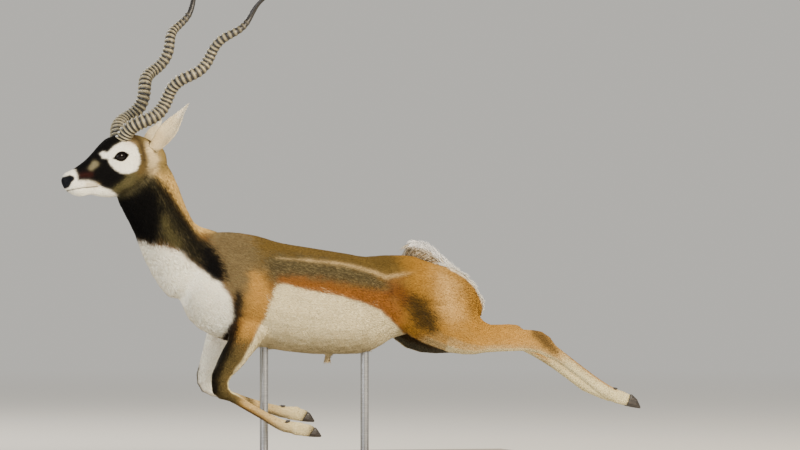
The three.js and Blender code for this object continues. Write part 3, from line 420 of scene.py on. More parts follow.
def coat_colours(points, normals, bones, seed):
    """The colour of the coat at points (millimetres), hair by hair, as linear RGB."""
    random = np.random.default_rng(seed)
    x, z, side = points[:, 0], points[:, 2], np.abs(points[:, 1])
    f, s, u = in_head(points).T
    lie = bones["lie"]
    outer = normals[:, 1] * np.sign(points[:, 1])
    front = normals[:, 0] * lie[:, 2] - normals[:, 2] * lie[:, 0]
    hair = random.uniform(size=len(points))
    uneven = wavy(points, 42, 5) * 4 + wavy(points, 17, 6) * 2
    speckle = (random.uniform(size=len(points)) < 0.3).astype(float)
    everywhere = np.full(len(points), 20.0)
    colour = np.tile(linear(TAN_FLANK), (len(points), 1)).astype(float)

    def lay(tone, depth, soft=5.0, where=1.0, grain=0.25, most=1.0):
        """Lays a colour where depth is over 0, over a soft edge in which single hairs differ."""
        amount = step(depth / soft)
        amount = np.clip(amount + (hair - 0.5) * 4 * grain * amount * (1 - amount), 0, 1)
        amount = (amount * most * where)[:, None]
        colour[:] = colour * (1 - amount) + np.array(linear(tone)) * amount

    trunk = on(bones, "trunk", "neck", "tail")
    fore, hind = on(bones, "fore_left", "fore_right"), on(bones, "hind_left", "hind_right")
    fore_run = along_of(bones, "fore_left", "fore_right")
    hind_run = along_of(bones, "hind_left", "hind_right")
    body = trunk + fore + hind
    head = on(bones, "head")
    below_jaw, behind_cheek = step((-86 - u) / 7), step((24 - f) / 10)
    neck = np.clip(body + head * np.maximum(below_jaw, behind_cheek), 0, 1)
    face = head * (1 - below_jaw)
    flank = body * step((side - 36) / 8)
    # Flank and back
    lay(TAN_BACK, depth_near(x, z, RIDGE, 60) + (z - 470) * 0.2, 16, body * step(normals[:, 2] * 5 - 0.5))
    lay("#54431f", depth_near(x, z, [(135, 520), (182, 524), (228, 520)], [8, 13, 8]) + uneven, 12, body,
        most=0.7)
    lay("#3b3420", depth_near(x, z, [(-560, 688), (-440, 735)], 30), 12)
    band = depth_near(x, z, [(px, pz - 25) for px, pz in RIDGE[:5]], [34, 30, 26, 18, 8]) + uneven
    lay(GRIZZLE, band, 15, body, grain=1.0, most=0.85)
    lay(GRIZZLE_PALE, band, 12, body * speckle, most=0.4)
    above_belly = [(px, pz + 6) for px, pz in BELLY_WHITE[4:10]]
    lay(RUST, depth_near(x, z, above_belly, [12, 20, 24, 30, 40, 36]) + uneven, 13, body, most=0.9)
    shoulder = depth_near(x, z, SHOULDER, [62, 62, 56, 40]) + uneven
    lay(SHOULDER_BROWN, shoulder, 22, body, grain=1.0, most=0.9)
    lay(GRIZZLE_PALE, shoulder, 18, body * speckle, most=0.3)
    lay(GOLD, depth_near(x, z, SHOULDER_GOLD, [20, 34, 34, 20]) + uneven, 15, flank, most=0.9)
    # Painted highlight: a thin pale line along the loin ridge, as light on the fold
    lay("#c2a878", depth_near(x, z, RIDGE, [0, 3, 4, 5, 5, 5, 3]) + uneven * 0.2, 4, flank, most=0.7)
    lay(HAUNCH_TAN, x - 205 + uneven, 28, body)
    lay(RUST_DEEP, depth_near(x, z, [(160, 440), (180, 448), (200, 428)], [10, 20, 16]) + uneven, 16, body,
        most=0.8)
    # Painted highlight: a pale tan patch high on the rear of the haunch, where light falls
    lay(HAUNCH_HIGHLIGHT, depth_near(x, z, HAUNCH_HIGHLIGHT_LINE, [18, 32, 30, 20]) + uneven, 34, body, most=0.75)
    # Neck and shoulders
    lay(NECK_OLIVE, depth_in(x, z, NECK_DARK) + uneven * 0.7, 11, neck, grain=1.0)
    lay(GRIZZLE_PALE, depth_in(x, z, NECK_DARK) - 4, 8, neck * speckle, most=0.24)
    lay(BLACK_HAIR, depth_in(x, z, THROAT_DARK) + uneven, 11, neck, grain=1.0)
    lay("#5b5433", depth_near(x, z, [(-430, 640), (-418, 600), (-405, 578)], [7, 13, 17]) + uneven * 0.6, 9,
        neck, grain=1.1, most=0.6)
    lay(BLACK_HAIR, depth_near(x, z, NECK_BAND, [10, 18, 17, 15, 16, 20]) + uneven, 12, neck,
        grain=1.1, most=0.85)
    lay(BLACK_HAIR, depth_near(x, z, SHOULDER_PATCH, [14, 25, 22]) + uneven, 9, neck, grain=0.9)
    lay(NAPE_TAN, depth_in(x, z, NAPE_PALE) + uneven * 0.6, 9, neck, grain=0.8)
    # Forelegs
    outside = step(outer * 4 + 1.4)
    lay(LEG_OLIVE, (fore_run - 0.15) * 200, 14, fore * outside, grain=1.0)
    lay("#6b5a34", (-front - 0.15) * 30, 9, fore * outside * step((fore_run - 0.14) * 14), most=0.75)
    lay(WHITE_HAIR, (-outer - 0.05) * 30, 8, fore * step((fore_run - 0.1) * 16))
    lay(CREAM, (-front - 0.72) * 30, 5, fore * step((fore_run - 0.16) * 14))
    lay(BLACK_HAIR, depth_near(x, z, FORE_STRIPE, [8, 15, 17, 17, 15, 13, 8]) + uneven * 0.5, 8,
        body * step((-200 - x) / 10) * outside, grain=0.9, most=0.95)
    low_fore = fore * step((fore_run - 0.56) * 40)
    lay(LEG_TAN, everywhere, 5, low_fore)
    lay("#5d4424", (front - 0.72) * 30, 5, low_fore * step((0.86 - fore_run) * 20), most=0.85)
    lay(LEG_PALE, (0.25 - front) * 24, 9, low_fore)
    lay(CREAM, (fore_run - 0.8) * 90, 10, low_fore, most=0.9)
    # Hind legs
    thigh = hind * step((0.62 - hind_run) * 30)
    low_hind = hind * step((hind_run - 0.62) * 30)
    lay(THIGH_TAN, (hind_run - 0.22) * 90, 14, thigh, most=0.85)
    lay(LEG_PALE, (hind_run - 0.5) * 60, 12, thigh, most=0.5)
    lay("#1c190e", depth_near(x, z, THIGH_PATCH, [20, 31, 31, 18]) + uneven * 0.6, 17, flank,
        grain=0.8, most=0.93)
    lay(HAUNCH_TAN, depth_near(x, z, THIGH_PATCH, [22, 34, 34, 20]), 17, flank * speckle, most=0.14)
    lay(CREAM, (front - 0.5) * 30, 9, thigh * step((hind_run - 0.1) * 30), most=0.9)
    lay(CREAM, everywhere, 5, low_hind)
    lay("#a5733a", (-front - 0.62) * 30, 7, low_hind * step((0.88 - hind_run) * 20), most=0.9)
    lay(LEG_TAN, (-front - 0.1) * 30, 10, low_hind * step((0.8 - hind_run) * 14), most=0.5)
    lay("#4c3a1e", depth_near(x, z, HOCK_PATCH, [12, 15, 9]) + uneven * 0.5, 9, hind * step(outer * 4 + 1),
        grain=0.9, most=0.85)
    for run, limb in ((fore_run, fore), (hind_run, hind)):
        lay("#3b3029", (run - 0.955) * 260, 6, limb, grain=0.8, most=0.75)
    # White underside and chest
    under = trunk + fore * step((0.34 - fore_run) * 30) + hind * step((0.42 - hind_run) * 30)
    lay(BELLY_CREAM, depth_in(x, z, BELLY_WHITE) + uneven * 0.4, 3.5, under * step((482 - z) / 5))
    lay(WHITE_HAIR, depth_in(x, z, CHEST_WHITE) + uneven * 0.5, 4.5, under)
    # Painted shade: the belly darker towards its underside, with darker mottles there that grow lower down
    lay("#b3a27a", (322 - z) * 0.6 + uneven * 2, 12, under * step((x + 190) / 12) * step((150 - x) / 20),
        grain=1.0, most=0.6)
    lay("#8f8262", wavy(points, 20, 8) * 9 - 8 + (320 - z) * 0.3, 5,
        under * step((x + 190) / 12) * step((120 - x) / 20) * step((side - 10) / 8), grain=1.0, most=0.5)
    # Painted shade: the groin and the inner thighs near black, as the deep shade between the thighs
    lay("#1b1a18", depth_in(x, z, GROIN_SHADE) + uneven * 0.3, 5, (trunk + hind) * step((0.1 - outer) * 6)
        * step((62 - side) / 8), most=0.92)
    # Tail and rump
    rump = depth_near(x, z, [(335, 500), (372, 482), (398, 460), (418, 430), (426, 394)], [12, 13, 13, 12, 9])
    lay(WHITE_HAIR, rump + 3 - side * 0.3, 5, body)
    lay(WHITE_HAIR, everywhere, 5, on(bones, "tail"))
    # Face
    lay(FACE_OLIVE, everywhere, 5, face, grain=0.9)
    lay(GRIZZLE_PALE, everywhere, 5, face * speckle, most=0.3)
    lay("#8c7746", (22 - f) + uneven * 0.5, 14, face * step((u + 60) / 8), grain=0.8)
    lay("#dcc79c", depth_near(f, u, [(12, 12), (14, -20), (26, -48)], 16) + uneven * 0.6, 9,
        face * step((np.abs(s) - 25) / 4), grain=0.5)
    lay("#191610", depth_in(x, z, THROAT_DARK) + 4 + uneven, 9, face, grain=1.0, most=0.9)
    lay(BLACK_HAIR, np.minimum(f - 97, u + 42 + (f - 99) * 0.33) + uneven * 0.6, 7, face, grain=0.9)
    lay(BLACK_HAIR, (u - 47) + uneven * 0.2, 5, face * step((f - 30) / 5))
    lay(FACE_GREY, depth_near(f, u, [(164, 20), (178, 12)], [8, 6]) + uneven * 0.3, 4,
        face * step((np.abs(s) - 14) / 3), most=0.7)
    lay(FACE_RED, depth_near(f, u, [(185, 0), (210, 4)], [8, 5]) + uneven * 0.3, 6,
        face * step((np.abs(s) - 12) / 3), most=0.9)
    lay("#66522c", depth_near(f, u, BEHIND_EYE, [9, 9, 8, 9, 8]) + uneven * 0.4, 7, face, grain=0.8)
    lay("#231c12", depth_near(f, u, BEHIND_EYE[:4], [4, 4, 3, 2]) + uneven * 0.4, 5, face,
        grain=0.8, most=0.7)
    beside = face * step((np.abs(s) - 16) / 3)
    lay(WHITE_HAIR, depth_in(f, u, EYE_RING), 2.2, beside)
    lay(WHITE_HAIR, depth_in(f, u, EYE_SPOT), 2.2, face * step((np.abs(s) - 12) / 3))
    lay("#d8b48c", depth_near(f, u, [(62, 44), (50, 34)], 6), 8, beside, most=0.35)
    lay(WHITE_HAIR, depth_in(f, u, LIP_WHITE) + uneven * 0.4, 3.2, face)
    lay("#cdb98e", depth_near(f, u, [(200, -22), (176, -34)], 5), 5, face, most=0.6)
    lay(LEATHER, depth_in(f, u, NOSE_LEATHER), 1.4, face)
    lay("#241a14", 1.3 - np.abs(depth_near(f, u, MOUTH, 0)), 1.0, face * step((f - 174) / 3))
    for eye_side in (-1, 1):
        long, high, out = eye_plane(points, eye_side)
        lay(BLACK_HAIR, almond(long, high, 2.6), 0.5, face * (out > 0))
    # Ears: cream, with a paler rim and tip
    ears = on(bones, "ear_left", "ear_right")
    ear_run = along_of(bones, "ear_left", "ear_right")
    lay("#e2d3b0", everywhere, 5, ears)
    lay("#a58a5c", (0.2 - ear_run) * 60, 6, ears, grain=0.6, most=0.45)
    lay(WHITE_HAIR, (ear_run - 0.7) * 60, 8, ears, most=0.6)
    # Each hair's own tone
    colour *= (1 + (hair - 0.5) * 0.16)[:, None]
    return np.clip(colour, 0.0, 1.0)


# Materials
def hair_material(name, dark, rough, bump_mm, streaks):
    """Short mammal hair: matt, with a soft sheen along each lock, coloured by the coat's markings."""
    material, tree = new_material(name)
    tone = add_node(tree, "ShaderNodeAttribute", {"attribute_name": "hair_tone"}).outputs["Color"]
    fine = ramp(tree, noise(tree, streaks, 2.0), (0.3, (dark, dark, dark, 1)), (0.72, (1.08, 1.08, 1.08, 1)))
    broad = ramp(tree, noise(tree, 14.0, 2.0), (0.3, (0.9, 0.9, 0.9, 1)), (0.7, (1.05, 1.05, 1.05, 1)))
    colour = mixed(tree, 1.0, mixed(tree, 1.0, tone, fine, "MULTIPLY"), broad, "MULTIPLY")
    relief = bump(tree, noise(tree, streaks, 2.0), bump_mm * MM)
    finish_material(tree, add_node(
        tree, "ShaderNodeBsdfPrincipled", Base_Color=colour, Roughness=rough, IOR=1.55, Normal=relief,
        Sheen_Weight=0.01, Sheen_Roughness=0.4, Specular_IOR_Level=0.06))
    return material


coat_material = hair_material("short_hair_coat", 0.84, 0.62, 0.3, 420.0)
skin_material = hair_material("hide_under_coat", 0.66, 0.8, 1.2, 300.0)
long_hair_material = hair_material("long_white_hair", 0.88, 0.55, 0.3, 300.0)


def horn_material():
    """Keratin horn: painted highlight on the ring crests, a dull cream, and painted shade in the dark
    grooves; tip polished dark.
    """
    material, tree = new_material("ringed_keratin_horn")
    tone = add_node(tree, "ShaderNodeAttribute", {"attribute_name": "hair_tone"}).outputs["Color"]
    fibre = noise(tree, 260.0, 4.0, 0.6)
    dust = ramp(tree, fibre, (0.25, (0.6, 0.58, 0.55, 1)), (0.7, (1.12, 1.1, 1.05, 1)))
    finish_hard(tree, mixed(tree, 1.0, tone, dust, "MULTIPLY"), between(tree, fibre, 0.32, 0.6),
                bump(tree, fibre, 0.5 * MM), 1.54)
    return material


def eye_material():
    """Glass eye: very dark brown iris, finely speckled, under a clear polished surface."""
    material, tree = new_material("dark_glass_eye")
    speckle = noise(tree, 420.0, 3.0)
    colour = ramp(tree, speckle, (0.35, rgba("#050404")), (0.7, rgba("#120a06")))
    finish_material(tree, add_node(
        tree, "ShaderNodeBsdfPrincipled", Base_Color=colour, Roughness=0.06, IOR=1.45,
        Specular_IOR_Level=0.2))
    return material


def hoof_material():
    """Hoof keratin: near black, with fine growth lines and a dull dusty surface."""
    material, tree = new_material("black_hoof_keratin")
    lines = noise(tree, 90.0, 4.0, 0.6, (1, 1, 5))
    colour = ramp(tree, lines, (0.25, rgba("#15120f")), (0.55, rgba("#2b2622")), (0.85, rgba("#57493a")))
    finish_hard(tree, colour, between(tree, lines, 0.3, 0.62), bump(tree, lines, 0.5 * MM), 1.54)
    return material


def plate_material():
    """Wood-composite base with a pale, faintly grained satin lacquer."""
    material, tree = new_material("satin_lacquered_base")
    grain = noise(tree, 14.0, 6.0, 0.6, (1, 9, 9))
    colour = ramp(tree, grain, (0.3, rgba("#8d8172")), (0.7, rgba("#a4988a")))
    finish_hard(tree, colour, between(tree, noise(tree, 120.0), 0.38, 0.55), bump(tree, grain, 0.15 * MM))
    return material


def rod_material():
    """Brushed stainless steel, turned lengthwise: fine rings that blur reflections."""
    material, tree = new_material("brushed_stainless_rod")
    brush = noise(tree, 500.0, 2.0, 0.5, (0.05, 0.05, 3))
    colour = ramp(tree, brush, (0.3, rgba("#8f9194")), (0.7, rgba("#b9bbbd")))
    finish_hard(tree, colour, between(tree, brush, 0.24, 0.4), bump(tree, brush, 0.05 * MM), metallic=1.0)
    return material


# Mesh helpers
def mesh_piece(name, points, faces, material, tones=None, smooth=True, places=None):
    """A new object from arrays: points in millimetres, triangles, and a colour at each point."""
    mesh = bpy.data.meshes.new(name)
    faces = np.asarray(faces, np.int32)
    mesh.vertices.add(len(points))
    mesh.vertices.foreach_set("co", (np.asarray(points) * MM).astype(np.float32).ravel())
    mesh.loops.add(faces.size)
    mesh.loops.foreach_set("vertex_index", faces.ravel())
    mesh.polygons.add(len(faces))
    mesh.polygons.foreach_set("loop_start", np.arange(0, faces.size, faces.shape[1], dtype=np.int32))
    mesh.update(calc_edges=True)
    mesh.polygons.foreach_set("use_smooth", np.full(len(faces), smooth))
    if tones is not None:
        paint(mesh, tones)
    if places is not None:
        layer = mesh.uv_layers.new(name="OFBake")
        layer.data.foreach_set("uv", places[faces.ravel()].astype(np.float32).ravel())
    mesh.materials.append(material)
    made = bpy.data.objects.new(name, mesh)
    bpy.context.scene.collection.objects.link(made)
    return made


def paint(mesh, tones):
    layers = mesh.color_attributes
    layer = layers.get("hair_tone") or layers.new("hair_tone", "FLOAT_COLOR", "POINT")
    layer.data.foreach_set("color", np.column_stack([tones, np.ones(len(tones))]).astype(np.float32).ravel())


def vertices_of(mesh):
    places = np.zeros(len(mesh.vertices) * 3, np.float32)
    mesh.vertices.foreach_get("co", places)
    return places.reshape(-1, 3).astype(float) / MM


def normals_of(mesh):
    values = np.zeros(len(mesh.vertices) * 3, np.float32)
    mesh.vertex_normals.foreach_get("vector", values)
    return values.reshape(-1, 3).astype(float)


def triangles_of(mesh):
    mesh.calc_loop_triangles()
    corners = np.zeros(len(mesh.loop_triangles) * 3, np.int32)
    mesh.loop_triangles.foreach_get("vertices", corners)
    return corners.reshape(-1, 3)


def move_vertices(mesh, places):
    mesh.vertices.foreach_set("co", (places * MM).astype(np.float32).ravel())
    mesh.update()


def copy_of(*names):
    """One new object from copies of CAD nodes, with their loose triangles merged."""
    bm = bmesh.new()
    for name in names:
        bm.from_mesh(nodes[name].data)
    bmesh.ops.remove_doubles(bm, verts=bm.verts, dist=0.01 * MM)
    mesh = bpy.data.meshes.new(names[0])
    bm.to_mesh(mesh)
    bm.free()
    made = bpy.data.objects.new(names[0] + "_piece", mesh)
    bpy.context.scene.collection.objects.link(made)
    return made


def pick(thing):
    bpy.ops.object.select_all(action="DESELECT")
    thing.select_set(True)
    bpy.context.view_layer.objects.active = thing


def apply_modifier(thing, kind, **settings):
    made = thing.modifiers.new(kind.lower(), kind)
    for key, value in settings.items():
        setattr(made, key, value)
    pick(thing)
    bpy.ops.object.modifier_apply(modifier=made.name)


def tube(line, radii, sides=16, flat=1.0):
    """Points and triangles of a closed tube along a line, with its two half sizes at each point."""
    line = np.asarray(line, float)
    way = np.gradient(line, axis=0)
    way /= np.linalg.norm(way, axis=1)[:, None]
    across = np.tile([0, 1.0, 0], (len(line), 1))
    lift = np.cross(way, across)
    lift /= np.linalg.norm(lift, axis=1)[:, None]
    across = np.cross(lift, way)
    angles = np.arange(sides) * 2 * math.pi / sides
    rings = [c + np.outer(np.cos(angles) * r, a) + np.outer(np.sin(angles) * r * flat, b)
             for c, r, a, b in zip(line, radii, across, lift)]
    return close_rings(np.array(rings), line[0], line[-1])


def band_faces(count, sides, bands):
    """Triangles of this many bands between rings of points. The last band may lead back to the first ring."""
    ring, k = np.meshgrid(np.arange(bands), np.arange(sides), indexing="ij")
    beside, after = (k + 1) % sides, (ring + 1) % count * sides
    a, b, c, d = ring * sides + k, ring * sides + beside, after + k, after + beside
    return np.concatenate([np.stack([a, b, d], -1).reshape(-1, 3), np.stack([a, d, c], -1).reshape(-1, 3)])


def close_rings(rings, first, last):
    """Points and triangles of a tube through rings, closed by a point at each end."""
    count, sides = rings.shape[:2]
    points = np.vstack([rings.reshape(-1, 3), first, last])
    faces = band_faces(count, sides, count - 1)
    k = np.arange(sides)
    start = np.stack([np.full(sides, count * sides), (k + 1) % sides, k], -1)
    base = (count - 1) * sides
    end = np.stack([np.full(sides, count * sides + 1), base + k, base + (k + 1) % sides], -1)
    return points, np.concatenate([faces, start, end])


def facing_out(points, faces):
    """The same triangles, turned if they face inwards."""
    a, b, c = (points[faces[:, i]] for i in range(3))
    volume = (np.cross(a, b) * c).sum() / 6
    return faces if volume > 0 else faces[:, ::-1]


# The skin
EYE = {"radius": 19.0, "f": 96.0, "s": 35.5, "u": 16.5, "half_long": 18.0, "half_high": 10.8, "slant": 6.0}
EYE_COVER = 1.4                     # how far the lids lie over the eyeball
VOXEL = 2.5
SKIN_TRIANGLES = 174000             # before the ears are joined on
# How deep the skin lies under the tips of the coat, in millimetres
COAT_DEPTH = {"head": 1.0, "neck": 2.6, "trunk": 2.4, "tail": 3.0, "ear_left": 0.2, "ear_right": 0.2}
LEG_COAT_DEPTH = 1.1
TAIL_CORE = [(372, 0, 440), (352, 0, 484), (332, 0, 508), (302, 0, 533), (270, 0, 553), (250, 0, 563)]
TAIL_CORE_HALF = [17, 17, 16, 15, 13, 8]


def eye_plane(points, side):
    """Places across the eye opening: along it, across it, and outwards, in millimetres."""
    f, s, u = in_head(points).T
    slant = math.radians(EYE["slant"])
    df, du = f - EYE["f"], u - EYE["u"]
    return (df * math.cos(slant) + du * math.sin(slant), -df * math.sin(slant) + du * math.cos(slant),
            s * side - EYE["s"])


def almond(long, high, grow=0.0):
    """How far inside the almond of the eye opening, grown a little, a place is: over 0 is inside."""
    ends = np.clip(np.abs(long) / (EYE["half_long"] + grow * 1.7), 0, 1)
    return (EYE["half_high"] + grow) * (1 - ends ** 2.0) - np.abs(high)


def add_body(bm, points, faces):
    made = [bm.verts.new(p * MM) for p in points]
    for face in faces:
        bm.faces.new([made[i] for i in face])


def make_skin():
    flesh = ["head", "neck", "torso", "leg_fore_left", "leg_fore_right", "leg_hind_left", "leg_hind_right"]
    skin = copy_of(*flesh)
    skin.name = "skin"
    bm = bmesh.new()
    bm.from_mesh(skin.data)
    for side in (-1, 1):
        centre = from_head(EYE["f"], side * EYE["s"], EYE["u"]) * MM
        bmesh.ops.create_uvsphere(bm, u_segments=32, v_segments=16, radius=(EYE["radius"] + EYE_COVER) * MM,
                                  matrix=Matrix.Translation(Vector(centre)))
    for points, faces in (tube(TAIL_CORE, TAIL_CORE_HALF, 16, 0.75),
                          tube([(22, 0, 296), (22, 0, 284), (20, 0, 274), (19, 0, 268)], [13, 11, 8, 3], 14)):
        add_body(bm, points, facing_out(points, faces))
    bm.to_mesh(skin.data)
    bm.free()
    apply_modifier(skin, "REMESH", mode="VOXEL", voxel_size=VOXEL * MM, use_smooth_shade=True)
    apply_modifier(skin, "SMOOTH", factor=0.5, iterations=3)
    smooth_body(skin)
    mesh = skin.data
    group = skin.vertex_groups.new(name="body")
    places = vertices_of(mesh)
    body = np.nonzero((in_head(places)[:, 0] < 20) | (places[:, 2] < 640))[0]
    group.add(body.tolist(), 1.0, "REPLACE")
    now = len(triangles_of(mesh))
    if now > SKIN_TRIANGLES:
        apply_modifier(skin, "DECIMATE", ratio=SKIN_TRIANGLES / now, vertex_group="body",
                       use_collapse_triangulate=True)
    shape_face(skin)
    sink_skin(skin)
    open_eyes(skin)
    return skin


# Where limbs join: (x, z, how far the smoothing reaches), for chest, throat, groin, armpit and elbow
JOINS = ((-350, 460, 58), (-376, 410, 40), (-328, 520, 40), (-335, 600, 32), (215, 378, 42),
         (-270, 390, 30), (-215, 366, 34))
BODY_ROUNDS, JOIN_ROUNDS = 14, 140


def smooth_body(skin):
    """Evens out the steps where limbs join, and leaves the face crisp."""
    places = vertices_of(skin.data)
    body = (in_head(places)[:, 0] < 10) | (places[:, 2] < 640)
    group = skin.vertex_groups.new(name="even")
    group.add(np.nonzero(body)[0].tolist(), 1.0, "REPLACE")
    apply_modifier(skin, "SMOOTH", factor=0.5, iterations=BODY_ROUNDS, vertex_group="even")
    x, z = places[:, 0], places[:, 2]
    joins = skin.vertex_groups.new(name="joins")
    weight = np.zeros(len(places))
    for cx, cz, reach in JOINS:
        weight = np.maximum(weight, np.exp(-((x - cx) ** 2 + (z - cz) ** 2) / reach ** 2))
    for level in range(1, 11):
        chosen = np.nonzero((np.round(weight * 10) == level) & body)[0]
        joins.add(chosen.tolist(), level / 10, "REPLACE")
    apply_modifier(skin, "SMOOTH", factor=0.5, iterations=JOIN_ROUNDS, vertex_group="joins")


def shape_face(skin):
    """Presses in the mouth line, nostrils and tear duct, and raises the ridge along the loin."""
    mesh = skin.data
    places, normals = vertices_of(mesh), normals_of(mesh)
    f, s, u = in_head(places).T
    head = f > 40
    push = np.zeros(len(places))
    mouth = -depth_near(f, u, MOUTH, 0)
    push -= np.where(head & (np.abs(s) > 4) & (f > 172), 1.8 * np.exp(-(mouth / 2.0) ** 2), 0)
    for centre, size in (((247, 15, 8), 5.0), ((240, 19, 6), 4.5)):
        away = np.sqrt((f - centre[0]) ** 2 + (np.abs(s) - centre[1]) ** 2 + (u - centre[2]) ** 2)
        push -= np.where(head, 3.4 * np.exp(-(away / size) ** 2), 0)
    rim = np.sqrt((f - 244) ** 2 + (np.abs(s) - 18) ** 2 + (u - 13) ** 2)
    push += np.where(head, 1.2 * np.exp(-(rim / 4.5) ** 2), 0)
    crease = depth_near(f, u, [(112, 36), (96, 39), (80, 35)], 0)
    push -= np.where(head & (np.abs(s) > 25), 1.3 * np.exp(-(crease / 2.2) ** 2), 0)
    tear = depth_near(f, u, [(118, 19), (127, 13)], 0)
    push -= np.where(head & (np.abs(s) > 20), 2.2 * np.exp(-(tear / 3.0) ** 2), 0)
    x, z, side = places[:, 0], places[:, 2], np.abs(places[:, 1])
    ridge = depth_near(x, z, RIDGE[1:], 0)
    below = depth_near(x, z, [(px, pz - 15) for px, pz in RIDGE[1:]], 0)
    push += np.where(side > 30, 1.8 * np.exp(-(ridge / 8) ** 2) - 1.6 * np.exp(-(below / 9) ** 2), 0)
    move_vertices(mesh, places + normals * push[:, None])


def sink_skin(skin):
    """Sinks the skin by the depth of the coat, so that the hair tips reach the solids' surface."""
    mesh = skin.data
    places, normals = vertices_of(mesh), normals_of(mesh)
    bones = read_bones(places)
    depth = bones["share"] @ np.array([COAT_DEPTH.get(name, LEG_COAT_DEPTH) for name in LIMBS])
    for side in (-1, 1):
        long, high, out = eye_plane(places, side)
        close = np.sqrt(long ** 2 + high ** 2 + out ** 2) < EYE["radius"] + 4
        depth = np.where(close, 0.2, depth)
    # The depth changes gently from one limb to the next
    edges = np.zeros(len(mesh.edges) * 2, np.int32)
    mesh.edges.foreach_get("vertices", edges)
    a, b = edges.reshape(-1, 2).T
    for _ in range(12):
        total, count = np.zeros(len(depth)), np.zeros(len(depth))
        for p, q in ((a, b), (b, a)):
            total += np.bincount(p, depth[q], len(depth))
            count += np.bincount(p, minlength=len(depth))
        depth = 0.5 * depth + 0.5 * total / np.maximum(count, 1)
    move_vertices(mesh, places - normals * depth[:, None])


def open_eyes(skin):
    """Opens the almond of each eye in the skin."""
    mesh = skin.data
    places = vertices_of(mesh)
    gone = np.zeros(len(places), bool)
    for side in (-1, 1):
        long, high, out = eye_plane(places, side)
        gone |= (almond(long, high) > 0.6) & (out > 0)
    bm = bmesh.new()
    bm.from_mesh(mesh)
    bm.verts.ensure_lookup_table()
    bmesh.ops.delete(bm, geom=[bm.verts[i] for i in np.nonzero(gone)[0]], context="VERTS")
    bm.to_mesh(mesh)
    bm.free()


def make_lids():
    """The lid margins: a dark rounded rim that follows the almond over the eyeball, thicker above."""
    pieces = []
    for side in (-1, 1):
        count = 44
        turn = np.arange(count) * 2 * math.pi / count
        long = EYE["half_long"] * np.cos(turn)
        high = EYE["half_high"] * np.sign(np.sin(turn)) * (1 - np.cos(turn) ** 2) ** 0.85
        cover = EYE["radius"] + 0.9
        out = np.sqrt(np.maximum(cover ** 2 - long ** 2 - high ** 2, 4.0))
        slant = math.radians(EYE["slant"])
        line = np.array([from_head(EYE["f"] + l * math.cos(slant) - h * math.sin(slant),
                                   side * (EYE["s"] + o),
                                   EYE["u"] + l * math.sin(slant) + h * math.cos(slant))
                         for l, h, o in zip(long, high, out)])
        way = np.roll(line, -1, 0) - np.roll(line, 1, 0)
        way /= np.linalg.norm(way, axis=1)[:, None]
        outward = line - from_head(EYE["f"], side * EYE["s"], EYE["u"])
        outward /= np.linalg.norm(outward, axis=1)[:, None]
        across = np.cross(way, outward)
        angles = np.arange(10) * 2 * math.pi / 10
        size = 1.4 + 1.1 * np.clip(np.sin(turn), 0, 1)
        rings = np.array([c + np.outer(np.cos(angles) * r, a) + np.outer(np.sin(angles) * r * 0.8, o)
                          for c, r, a, o in zip(line, size, across, outward)])
        points = rings.reshape(-1, 3)
        pieces.append((points, facing_out(points, band_faces(count, 10, count))))
    return pieces


# Ears, from the CAD's own leaves
def make_ears():
    pieces = []
    for name in ("ear_left", "ear_right"):
        ear = copy_of(name)
        apply_modifier(ear, "SUBSURF", levels=2, render_levels=2)
        pieces.append(ear)
    return pieces


# The coat
# Millimetres from tuft to tuft, and each tuft's (length, width)
SPACING = {"head": 2.1, "neck": 2.5, "trunk": 2.7, "tail": 2.6, "ear_left": 2.2, "ear_right": 2.2}
LEG_SPACING = 2.3
HAIR = {"head": (6.0, 1.5), "neck": (14.0, 2.2), "trunk": (12.0, 2.3), "tail": (10.0, 2.4),
        "ear_left": (6.0, 1.4), "ear_right": (6.0, 1.4)}
LEG_HAIR = (7.5, 1.7)
ROOTS_TRIED = 2.6                   # random places tried for each cell of the grid, which keeps one
ROOT_SUNK = 0.5                     # how deep a tuft's root is set in the skin
RIDGE_HEIGHT = 0.34                 # of a tuft's width


def sample_roots(skin, random):
    """Evenly scattered roots on the skin: places and normals in millimetres, closer on face and feet."""
    mesh = skin.data
    places, normals = vertices_of(mesh), normals_of(mesh)
    faces = triangles_of(mesh)
    a, b, c = (places[faces[:, i]] for i in range(3))
    area = np.linalg.norm(np.cross(b - a, c - a), axis=1) / 2
    centre_limb = read_bones((a + b + c) / 3)["limb"]
    spacing = np.array([SPACING.get(name, LEG_SPACING) for name in LIMBS])
    want = area / spacing[centre_limb] ** 2 * ROOTS_TRIED
    count = random.poisson(want)
    chosen = np.repeat(np.arange(len(faces)), count)
    r1, r2 = np.sqrt(random.uniform(size=len(chosen))), random.uniform(size=len(chosen))
    w = np.stack([1 - r1, r1 * (1 - r2), r1 * r2])
    corner = faces[chosen]
    roots = sum(w[i][:, None] * places[corner[:, i]] for i in range(3))
    out = sum(w[i][:, None] * normals[corner[:, i]] for i in range(3))
    out /= np.linalg.norm(out, axis=1)[:, None]
    cell = np.floor(roots / spacing[centre_limb[chosen]][:, None]).astype(np.int64)
    key = (cell[:, 0] * 73856093) ^ (cell[:, 1] * 19349663) ^ (cell[:, 2] * 83492791)
    _, keep = np.unique(key, return_index=True)
    keep.sort()
    return roots[keep], out[keep]


def bare(points):
    """Places without hair: inside the eye openings and on the nose leather."""
    f, s, u = in_head(points).T
    none = (depth_in(f, u, NOSE_LEATHER) > -1) & (f > 226)
    for side in (-1, 1):
        long, high, out = eye_plane(points, side)
        none |= (almond(long, high, 2.0) > 0) & (out > -4)
    return none


